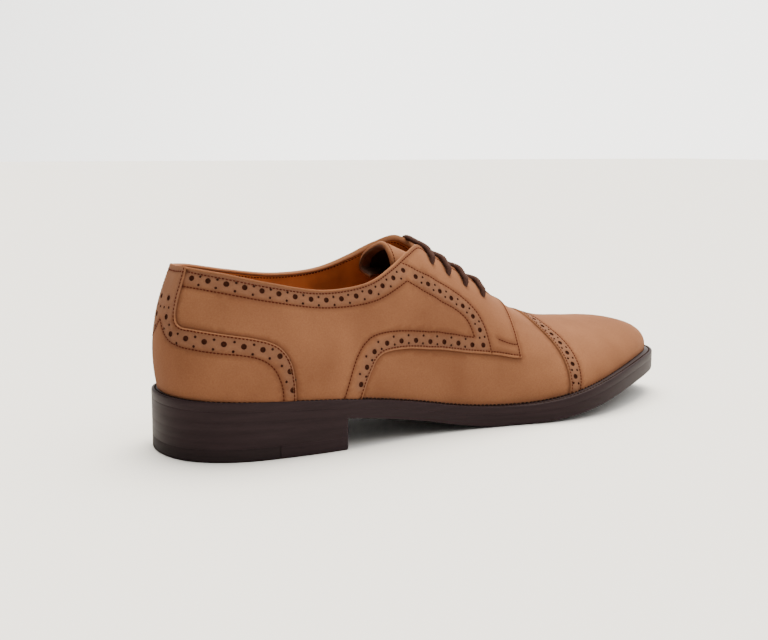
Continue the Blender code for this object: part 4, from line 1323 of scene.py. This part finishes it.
class BROGUE_OT_topline(bpy.types.Operator):
    """Rounded edge of the collar and facings, and the lining behind it"""

    bl_idname = "brogue.topline"
    bl_label = "Topline and lining"

    PROFILE = [
        # height over the skin, lift past the top edge
        (1.2, -0.9), (1.3, -0.5), (1.25, -0.1), (0.95, 0.16), (0.4, 0.28), (-0.6, 0.3), (-1.3, 0.2),
        (-1.8, -0.05), (-2.1, -0.4), (-2.15, -0.9), (-1.9, -1.3),
    ]

    # Where the fold ends at the front, and where the counter's strap, which is thicker, ends at the back
    FRONT = 0.6088
    STRAP, STRAP_MORE = 0.066, 0.55

    def fold(self):
        """The leather folded over the top edge, with painted shade at its lower ends outside and inside."""
        back = np.linspace(0, 0.1, 40, endpoint=False)
        stations = np.concatenate([back, np.linspace(0.1, self.FRONT, 260)])
        ones = np.ones(len(stations))
        count = len(stations)
        points, faces, tone = [], [], []
        for side in (LATERAL, MEDIAL):
            start = len(points)
            for rise, lift in self.PROFILE:
                more = np.where(stations < self.STRAP, self.STRAP_MORE, 0.0) if rise > 0.6 else 0.0
                base = LAST_FORM.offset(side, stations, ones, rise * ones + more)
                up = LAST_FORM.slopes(side, stations, ones)[1]
                up[0] += LAST_FORM.slopes(-side, stations[:1], ones[:1])[1][0]
                up /= np.linalg.norm(up, axis=1, keepdims=True)
                points += list(base + up * lift)
                # Painted shade where the fold runs down at its outer foot and deep inside; the rest is a
                # little paler
                tone += [-0.45 if lift < -0.8 else 0.3] * count
            for level in range(len(self.PROFILE) - 1):
                for i in range(count - 1):
                    a, b = start + level * count + i, start + (level + 1) * count + i
                    face = [a, a + 1, b + 1, b]
                    faces.append(face if side == LATERAL else face[::-1])
        return add_mesh("topline_fold", points, faces, [material("nubuck")], tone=tone)

    def lining(self):
        """The inner face of the whole upper."""
        s, v = np.meshgrid(np.linspace(0, 1, 260), np.linspace(0, 1, 40), indexing="ij")
        rows, columns = s.shape
        points, faces = [], []
        for side in (LATERAL, MEDIAL):
            start = len(points)
            points += list(LAST_FORM.offset(side, s.ravel(), v.ravel(), np.full(s.size, -WALL)))
            for i in range(rows - 1):
                for j in range(columns - 1):
                    a = start + i * columns + j
                    face = [a, a + 1, a + columns + 1, a + columns]
                    faces.append(face if side == LATERAL else face[::-1])
        return add_mesh("lining", points, faces, [material("lining_calf")])

    def execute(self, context):
        piece = self.fold()
        piece = self.lining()
        return {"FINISHED"}


class BROGUE_OT_seams(bpy.types.Operator):
    """Every stitch of the upper's outside, and those of the topline that show inside"""

    bl_idname = "brogue.seams"
    bl_label = "Stitches of the upper"

    def execute(self, context):
        leather = settings()[0]
        for side, name in ((LATERAL, "stitches_lateral"), (MEDIAL, "stitches_medial")):
            runs = []
            for line, rise in seams_of_upper():
                points = trace(line, 0.8)
                s, v = points[:, 0], points[:, 1]
                depth = rise - 0.12 + relief(s, v)
                runs.append((LAST_FORM.offset(side, s, v, depth), LAST_FORM.normal(side, s, v)))
                if line is COLLAR_HIGH:
                    inner = np.full(len(s), -WALL - 0.1)
                    runs.append((LAST_FORM.offset(side, s, v, inner), -LAST_FORM.normal(side, s, v)))
            points, faces = stitches(runs, leather.stitch_pitch, leather.stitch_length, leather.stitch_width)
            piece = add_mesh(name, points, faces, [material("upper_thread")])
        return {"FINISHED"}


class BROGUE_OT_tongue(bpy.types.Operator):
    """Tongue: nubuck outside, a lap of lining and a dark backing inside, folded edge between them"""

    bl_idname = "brogue.tongue"
    bl_label = "Tongue"

    THICK = 2.0
    # Length, half width, and half width measured over the arch
    REACH, HALF, HALF_ARC = 82.0, 17.0, 30.0
    # Width of the lining's lap inside the edge, and the height of its step
    LAP, STEP = 6.4, 0.8
    # The seam's place along and across the tongue
    SEAM_T, SEAM_U = 0.024, 0.888

    def point(self, t, u):
        """Point of the outer face, with t from the free end to the foot and u across it, from -1 to 1."""
        table = np.array(TONGUE)
        x = np.interp(t, np.linspace(0, 1, len(table)), table[:, 0])
        ridge, half, drop, lean = (column(TONGUE, number, x) for number in (1, 2, 3, 4))
        y = half * u
        z = ridge + lean * u - drop * np.abs(u) ** TONGUE_ROUND
        free = np.array(TONGUE_END)
        across = np.linspace(-1, 1, len(free))
        rolled = [cubic(across, line, np.gradient(line, across), u) for line in free.T]
        _, ridge, half, drop, lean = TONGUE[0]
        share = (1 - np.clip(t / TONGUE_ROLL, 0, 1)) ** 1.6
        y = y + share * (rolled[0] - half * u)
        z = z + share * (rolled[1] - ridge - lean * u + drop * np.abs(u) ** TONGUE_ROUND)
        return np.stack([x, centre(x) + y, z], -1)

    def steps(self, t, u):
        """Small steps of the outer face along its length and across it."""
        tiny = 1e-3
        along = self.point(t + tiny, u) - self.point(t - tiny, u)
        return along, self.point(t, u + tiny) - self.point(t, u - tiny)

    def faces_and_kinds(self, rows, columns, lap):
        """Faces of the outer sheet, the inner sheet and the edge, with the kind of each."""
        count = rows * columns
        faces, kinds = [], []
        for i in range(rows - 1):
            for j in range(columns - 1):
                a = i * columns + j
                faces.append([a, a + columns, a + columns + 1, a + 1])
                kinds.append(0)
                faces.append([count + a, count + a + 1, count + a + columns + 1, count + a + columns])
                kinds.append(1 if lap[i, j] < self.LAP else 3)
        rim = [i * columns for i in range(rows - 1, -1, -1)] + list(range(1, columns))
        rim += [i * columns + columns - 1 for i in range(1, rows)]
        for a, b in zip(rim, rim[1:]):
            faces.append([a, b, b + count, a + count])
            kinds.append(2)
        return faces, kinds

    def seam_runs(self):
        """The seam near the edge, seen from outside and from inside."""
        down, round_end = np.linspace(1, self.SEAM_T, 80), np.full(70, self.SEAM_T)
        t = np.concatenate([down, round_end, np.linspace(self.SEAM_T, 1, 80)])
        over = np.linspace(-self.SEAM_U, self.SEAM_U, 70)
        u = np.concatenate([np.full(80, -self.SEAM_U), over, np.full(80, self.SEAM_U)])
        middle = self.point(t, u)
        out = np.cross(*self.steps(t, u))
        out /= np.linalg.norm(out, axis=1, keepdims=True)
        return [(middle - out * 0.17, out), (middle - out * (self.THICK + 0.24), -out)]

    def execute(self, context):
        t, u = np.meshgrid(np.linspace(0, 1, 90), np.linspace(-1, 1, 70), indexing="ij")
        along, across = self.steps(t, u)
        along[0] = along[1]
        out = np.cross(along, across)
        out /= np.linalg.norm(out, axis=-1, keepdims=True)
        edge = np.minimum(np.minimum(t * self.REACH, (1 - np.abs(u)) * self.HALF), 3.0)
        groove = 0.22 * np.exp(-(((edge - 1.9) / 0.4) ** 2))
        roll = 0.7 * (1 - np.clip(edge / 0.7, 0, 1)) ** 2
        outer = self.point(t, u) - out * (groove + roll)[..., None]
        lap = np.minimum(t * self.REACH, (1 - np.abs(u)) * self.HALF_ARC)
        step = self.STEP / (1 + np.exp((lap - self.LAP) * 4))
        inner = self.point(t, u) - out * (self.THICK - roll + step)[..., None]
        faces, kinds = self.faces_and_kinds(*t.shape, lap)
        points = np.concatenate([outer.reshape(-1, 3), inner.reshape(-1, 3)])
        # Painted shade in the groove along the tongue's edge; the inner sheet has none
        tone = np.concatenate([-groove.ravel() * 3, np.zeros(t.size)])
        finishes = [material("nubuck"), material("tongue_lining"), material("nubuck_folded_edge"),
                    material("tongue_backing")]
        piece = add_mesh("tongue_nubuck", points, faces, finishes, kinds, sharp=60, tone=tone)
        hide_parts("tongue")
        leather = settings()[0]
        points, faces = stitches(self.seam_runs(), leather.stitch_pitch, leather.stitch_length,
                                 leather.stitch_width)
        piece = add_mesh("stitches_tongue", points, faces, [material("upper_thread")])
        return {"FINISHED"}


class BROGUE_OT_lace(bpy.types.Operator):
    """Waxed cotton lace in four straight bars"""

    bl_idname = "brogue.lace"
    bl_label = "Lace"

    def on_face(self, side, hole, rise, share=0.0):
        """A point over the skin, a share of the way from a lace hole to the facing's edge."""
        station, v = hole
        height = v + (1 - v) * share
        return LAST_FORM.offset(side, np.array([station]), np.array([height]), np.array([rise]))[0]

    def execute(self, context):
        leather, sole, _ = settings()
        radius = sole.lace_width / 2
        over = leather.quarter_rise + radius + 0.05
        under = -(WALL + radius + 0.3)
        rise = (under + 0.4, -0.6, over - 1.3)
        holes = np.array(EYELETS)
        route = []
        side = LATERAL
        for number, hole in enumerate(holes):
            route += [self.on_face(side, hole, level) for level in rise]
            start = [self.on_face(side, hole, over + 0.15, share) for share in (0.16, 0.45, 0.85)]
            end = [self.on_face(-side, hole, over + 0.15, share) for share in (0.85, 0.45, 0.16)]
            middle = (start[-1] + end[0]) / 2 + np.array([0.0, 0.0, 0.5])
            route += [*start, middle, *end]
            side = -side
            route += [self.on_face(side, hole, level) for level in rise[::-1]]
            if number + 1 < len(holes):
                for share in (0.3, 0.7):
                    between = hole * (1 - share) + holes[number + 1] * share
                    route.append(self.on_face(side, between, under))
        points, faces = tube(smooth_path(route, 0.3), radius, 16, braid=0.16)
        piece = add_mesh("lace_cord", points, faces, [material("waxed_cotton_cord")])
        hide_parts("lace")
        return {"FINISHED"}


class BROGUE_OT_sole(bpy.types.Operator):
    """Welt with its stitching, outsole, sock and inseam"""

    bl_idname = "brogue.sole"
    bl_label = "Welt, outsole and sock"

    WELT = [
        # inset from the sole's edge, height over the welt's top
        (13.0, -WELT_THICK),
        (0.03, -WELT_THICK),
        (0.0, 0.05 - WELT_THICK),
        (0.0, -0.9),
        (0.12, -0.45),
        (0.45, -0.12),
        (0.9, 0.0),
        (1.3, -0.28),
        (2.1, -0.28),
        (2.5, 0.0),
        (13.0, 0.0),
    ]
    TREAD_EDGE = [
        # inset from the sole's edge, height over the tread
        (1.1, 0.0),
        (0.5, 0.12),
        (0.12, 0.5),
        (0.0, 1.1),
    ]
    OUTSOLE_TOP = [
        # inset from the sole's edge, height under the outsole's top
        (0.0, 0.7),
        (0.0, 0.05),
        (0.03, 0.0),
        (13.0, 0.0),
    ]
    SOCK = [
        # inset from the upper's outer face, height over the welt's top
        (0.4, 0.35),
        (1.2, 2.9),
        (4.0, 3.0),
    ]

    def rings(self, levels):
        """Rings from (inset, height) pairs."""
        return np.concatenate([ring_points(inset, height, self.stations) for inset, height in levels])

    def over(self, height, more):
        """A height function raised by a distance."""
        return lambda x: height(x) + more

    def outsole_top(self, x):
        """Height of the outsole's top, just under the welt."""
        return welt_top(x) - WELT_THICK - 0.02

    def rounding(self, inset):
        """Inset of the tread's rounded edge, which stays sharp over the heel."""
        return lambda chosen: np.where(chosen > OUTLINE.station(HEEL_BREAST), inset, 0.0)

    def wall_inset(self, extra):
        """Inset of the upper's outer face, and a distance more."""
        return lambda chosen: np.interp(chosen, OUTLINE.stations, OUTLINE.inset) + extra

    def stitching(self, pitch):
        """The stitches on the welt, and the inseam's where the welt meets the upper."""
        line = ring_points(1.7, self.over(welt_top, -0.2), self.stations)
        inseam = ring_points(self.wall_inset(-0.5), self.over(welt_top, 0.15), self.stations)
        line, inseam = (np.concatenate([ring, ring[:1]]) for ring in (line, inseam))
        up = np.tile((0.0, 0.0, 1.0), (len(line), 1))
        points, faces = stitches([(line, up)], pitch, pitch * 0.85, 0.75)
        more, more_faces = stitches([(inseam, up)], pitch, pitch * 0.9, 1.1)
        faces += [[k + len(points) for k in face] for face in more_faces]
        return add_mesh("stitches_welt", np.concatenate([points, more]), faces, [material("welt_thread")])

    def execute(self, context):
        self.stations = spaced(SOLE_POINTS)
        count = 2 * (SOLE_POINTS - 1)
        ink = [material("inked_sole_edge")]
        points = self.rings((inset, self.over(welt_top, more)) for inset, more in self.WELT)
        piece = add_mesh("welt_edge", points, ring_bands(count, len(self.WELT), closed=True), ink, sharp=50)
        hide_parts("welt")
        levels = [(9.0, tread)]
        levels += [(self.rounding(inset), self.over(tread, more)) for inset, more in self.TREAD_EDGE]
        levels += [(inset, self.over(self.outsole_top, -less)) for inset, less in self.OUTSOLE_TOP]
        faces = ring_bands(count, len(levels)) + ring_lid(count, 0)
        piece = add_mesh("outsole_leather", self.rings(levels), faces, ink, sharp=50)
        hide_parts("outsole")
        points = self.rings((self.wall_inset(extra), self.over(welt_top, more)) for extra, more in self.SOCK)
        last = count * (len(self.SOCK) - 1)
        faces = ring_bands(count, len(self.SOCK)) + ring_lid(count, last)
        piece = add_mesh("sock", points, faces, [material("lining_calf")])
        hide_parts("insole")
        piece = self.stitching(settings()[1].welt_stitch)
        return {"FINISHED"}


class BROGUE_OT_heel(bpy.types.Operator):
    """Stacked heel and its top piece"""

    bl_idname = "brogue.heel"
    bl_label = "Heel"

    CORNER = 1.6

    def plan(self, start, end):
        """Plan outline between two distances from the back, with rounded corners at the breast."""
        fine = np.linspace(0, 0.5, 1200)
        sides = {}
        for side in (LATERAL, MEDIAL):
            edge = OUTLINE.point(side, fine)
            reach = run_of(edge)
            last = end - self.CORNER if end >= HEEL_BREAST else end
            first, last = np.interp((start, last), edge[:, 0], reach)
            run = read_path(edge, reach, np.linspace(first, last, max(2, round((last - first) / 1.4))))
            if end >= HEEL_BREAST:
                angle = np.linspace(0, math.pi / 2, 7)[1:]
                turn = np.stack([np.sin(angle), -side * (1 - np.cos(angle))], -1) * self.CORNER
                run = np.concatenate([run, run[-1] + turn])
            sides[side] = run
        medial = sides[MEDIAL][::-1]
        if start <= 0:
            medial = medial[:-1]
        return np.concatenate([sides[LATERAL], medial])

    def block(self, name, start, end, levels, finish):
        """A closed block on that outline, through rings given as (inset, height)."""
        plan = self.plan(start, end)
        count = len(plan)
        middle = plan.mean(axis=0)
        rings = []
        for inset, height in levels:
            away = plan - middle
            away /= np.linalg.norm(away, axis=1, keepdims=True)
            moved = plan - away * inset
            z = height(moved[:, 0]) if callable(height) else np.full(count, height)
            rings.append(np.column_stack([moved, z]))
        last = (len(rings) - 1) * count
        faces = ring_bands(count, len(rings)) + [list(range(count))[::-1], list(range(last, last + count))]
        return add_mesh(name, np.concatenate(rings), faces, [finish], sharp=50)

    def execute(self, context):
        def seat(share):
            """Height at a share of the way from the top piece up to the outsole."""
            return lambda x: TOP_PIECE + 0.02 + (tread(x) - TOP_PIECE - 0.04) * share

        levels = [(0.06, seat(0.0)), (0.0, seat(0.02))]
        for joint in (1 / 3, 2 / 3):
            levels += [(0.0, seat(joint - 0.02)), (0.04, seat(joint)), (0.0, seat(joint + 0.02))]
        levels += [(0.0, seat(0.98)), (0.04, seat(1.0))]
        piece = self.block("heel_lifts", 0.0, HEEL_BREAST, levels, material("inked_sole_edge"))
        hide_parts("heel_stack")
        shape = [(0.55, 0.0), (0.15, 0.15), (0.0, 0.6), (0.0, TOP_PIECE - 0.12), (0.06, TOP_PIECE - 0.01)]
        piece = self.block("top_piece_rubber", 0.0, TOP_PIECE_JOINT, shape, material("moulded_rubber"))
        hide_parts("heel_top_rubber")
        piece = self.block("top_piece_leather", TOP_PIECE_JOINT + 0.3, HEEL_BREAST, shape,
                               material("inked_sole_edge"))
        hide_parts("heel_top_leather")
        return {"FINISHED"}


class BROGUE_OT_stage(bpy.types.Operator):
    """Pale floor, soft studio light and the camera"""

    bl_idname = "brogue.stage"
    bl_label = "Stage"

    # The camera in the shoe's millimetres and degrees, with its focal length in pixels of the picture
    CAMERA = (-176.4, -507.6, 141.2)
    YAW, PITCH, ROLL = 30.32, 8.51, 0.16
    FOCAL = 1172.5
    PICTURE_WIDTH = 768
    SENSOR_WIDTH = 36.0
    LAMP_DIRECTION = (-0.22, -0.24, -0.94)
    LAMP_COLOUR = (1.0, 0.88, 0.68)

    def floor(self, colour):
        """A wide floor under the sole."""
        mesh = bpy.data.meshes.new("floor")
        mesh.from_pydata([(-9, -9, 0), (9, -9, 0), (9, 9, 0), (-9, 9, 0)], [], [(0, 1, 2, 3)])
        finish, _ = new_material("matt_floor", linear(colour), 0.9, specular=0.1)
        mesh.materials.append(finish)
        return bpy.data.objects.new("floor", mesh)

    def studio(self, horizon, zenith):
        """A studio that is bright at the horizon, dim above it and brightest overhead, which lights the top
        of the shoe. It is dimmer behind the heel and on the camera's side, which shades what faces there."""
        world = bpy.data.worlds.new("studio")
        world.use_nodes = True
        where = add_node(world, "ShaderNodeTexCoord").outputs["Generated"]
        axes = add_node(world, "ShaderNodeSeparateXYZ", [(where, "Vector")])
        heights = ramp(world, axes.outputs["Z"], [(0.15, [horizon / zenith] * 4), (1.0, [1.0] * 4),
                                                  (0.26, [0.08] * 4), (0.55, [0.2] * 4)])
        bright = add_node(world, "ShaderNodeMath", [(heights, 0)], operation="MULTIPLY", in_1=zenith)
        behind = add_node(world, "ShaderNodeMapRange", [(axes.outputs["X"], "Value")], in_From_Min=-0.6,
                          in_From_Max=0.45, in_To_Min=0.08, in_To_Max=1.0)
        near = add_node(world, "ShaderNodeMapRange", [(axes.outputs["Y"], "Value")], in_From_Min=-0.2,
                        in_From_Max=0.5, in_To_Min=0.48, in_To_Max=1.0)
        dim = add_node(world, "ShaderNodeMath", [(behind.outputs["Result"], 0), (near.outputs["Result"], 1)],
                       operation="MULTIPLY")
        light = add_node(world, "ShaderNodeMath", [(bright.outputs["Value"], 0), (dim.outputs["Value"], 1)],
                         operation="MULTIPLY")
        background = world.node_tree.nodes["Background"]
        background.inputs["Color"].default_value = linear("#F3F1EC")
        world.node_tree.links.new(light.outputs["Value"], background.inputs["Strength"])
        return world

    def lamp(self, strength):
        """A wide warm lamp, high over the toe and a little to the inner side."""
        light = bpy.data.lights.new("key", "SUN")
        light.angle = math.radians(40)
        light.energy = strength
        light.color = self.LAMP_COLOUR
        made = bpy.data.objects.new("key", light)
        made.rotation_euler = Vector(self.LAMP_DIRECTION).to_track_quat("-Z", "Y").to_euler()
        return made

    def camera(self):
        """The photo's camera."""
        yaw, pitch, roll = (math.radians(a) for a in (self.YAW, self.PITCH, self.ROLL))
        ahead = np.array([math.sin(yaw) * math.cos(pitch), math.cos(yaw) * math.cos(pitch), -math.sin(pitch)])
        level = np.array([math.cos(yaw), -math.sin(yaw), 0.0])
        plumb = np.cross(level, ahead)
        right = level * math.cos(roll) + plumb * math.sin(roll)
        up = plumb * math.cos(roll) - level * math.sin(roll)
        lens = bpy.data.cameras.new("camera")
        lens.sensor_fit = "HORIZONTAL"
        lens.sensor_width = self.SENSOR_WIDTH
        lens.lens = self.FOCAL / self.PICTURE_WIDTH * self.SENSOR_WIDTH
        lens.clip_start = 0.01
        made = bpy.data.objects.new("camera", lens)
        turn = Matrix(np.stack([right, up, -ahead], -1).tolist()).to_4x4()
        turn.translation = Vector(place(self.CAMERA))
        made.matrix_world = turn
        return made

    def execute(self, context):
        stage = settings()[2]
        floor, lamp, camera = self.floor(stage.floor), self.lamp(stage.key), self.camera()
        for made in (floor, lamp, camera):
            context.collection.objects.link(made)
        context.scene.world = self.studio(stage.sky, stage.zenith)
        context.scene.camera = camera
        return {"FINISHED"}


STEPS = (
    BROGUE_OT_stage,
    BROGUE_OT_upper,
    BROGUE_OT_topline,
    BROGUE_OT_seams,
    BROGUE_OT_tongue,
    BROGUE_OT_lace,
    BROGUE_OT_sole,
    BROGUE_OT_heel,
)


class BROGUE_PT_steps(bpy.types.Panel):
    """Lists the steps that dress the shoe"""

    bl_idname = "BROGUE_PT_steps"
    bl_label = "Brogue"
    bl_space_type = "VIEW_3D"
    bl_region_type = "UI"
    bl_category = "Brogue"

    def draw(self, context):
        for step in STEPS:
            self.layout.operator(step.bl_idname)
        for group in settings():
            for name in group.bl_rna.properties.keys():
                if name not in ("rna_type", "name"):
                    self.layout.prop(group, name)


CLASSES = (LeatherSettings, SoleSettings, StageSettings, *STEPS, BROGUE_PT_steps)


def register():
    for made in CLASSES:
        bpy.utils.register_class(made)
    bpy.types.Scene.brogue_leather = bpy.props.PointerProperty(type=LeatherSettings)
    bpy.types.Scene.brogue_sole = bpy.props.PointerProperty(type=SoleSettings)
    bpy.types.Scene.brogue_stage = bpy.props.PointerProperty(type=StageSettings)


def unregister():
    del bpy.types.Scene.brogue_stage
    del bpy.types.Scene.brogue_sole
    del bpy.types.Scene.brogue_leather
    for made in reversed(CLASSES):
        bpy.utils.unregister_class(made)


def main():
    register()
    for step in STEPS:
        group, name = step.bl_idname.split(".")
        getattr(getattr(bpy.ops, group), name)()


if __name__ == "__main__":
    main()
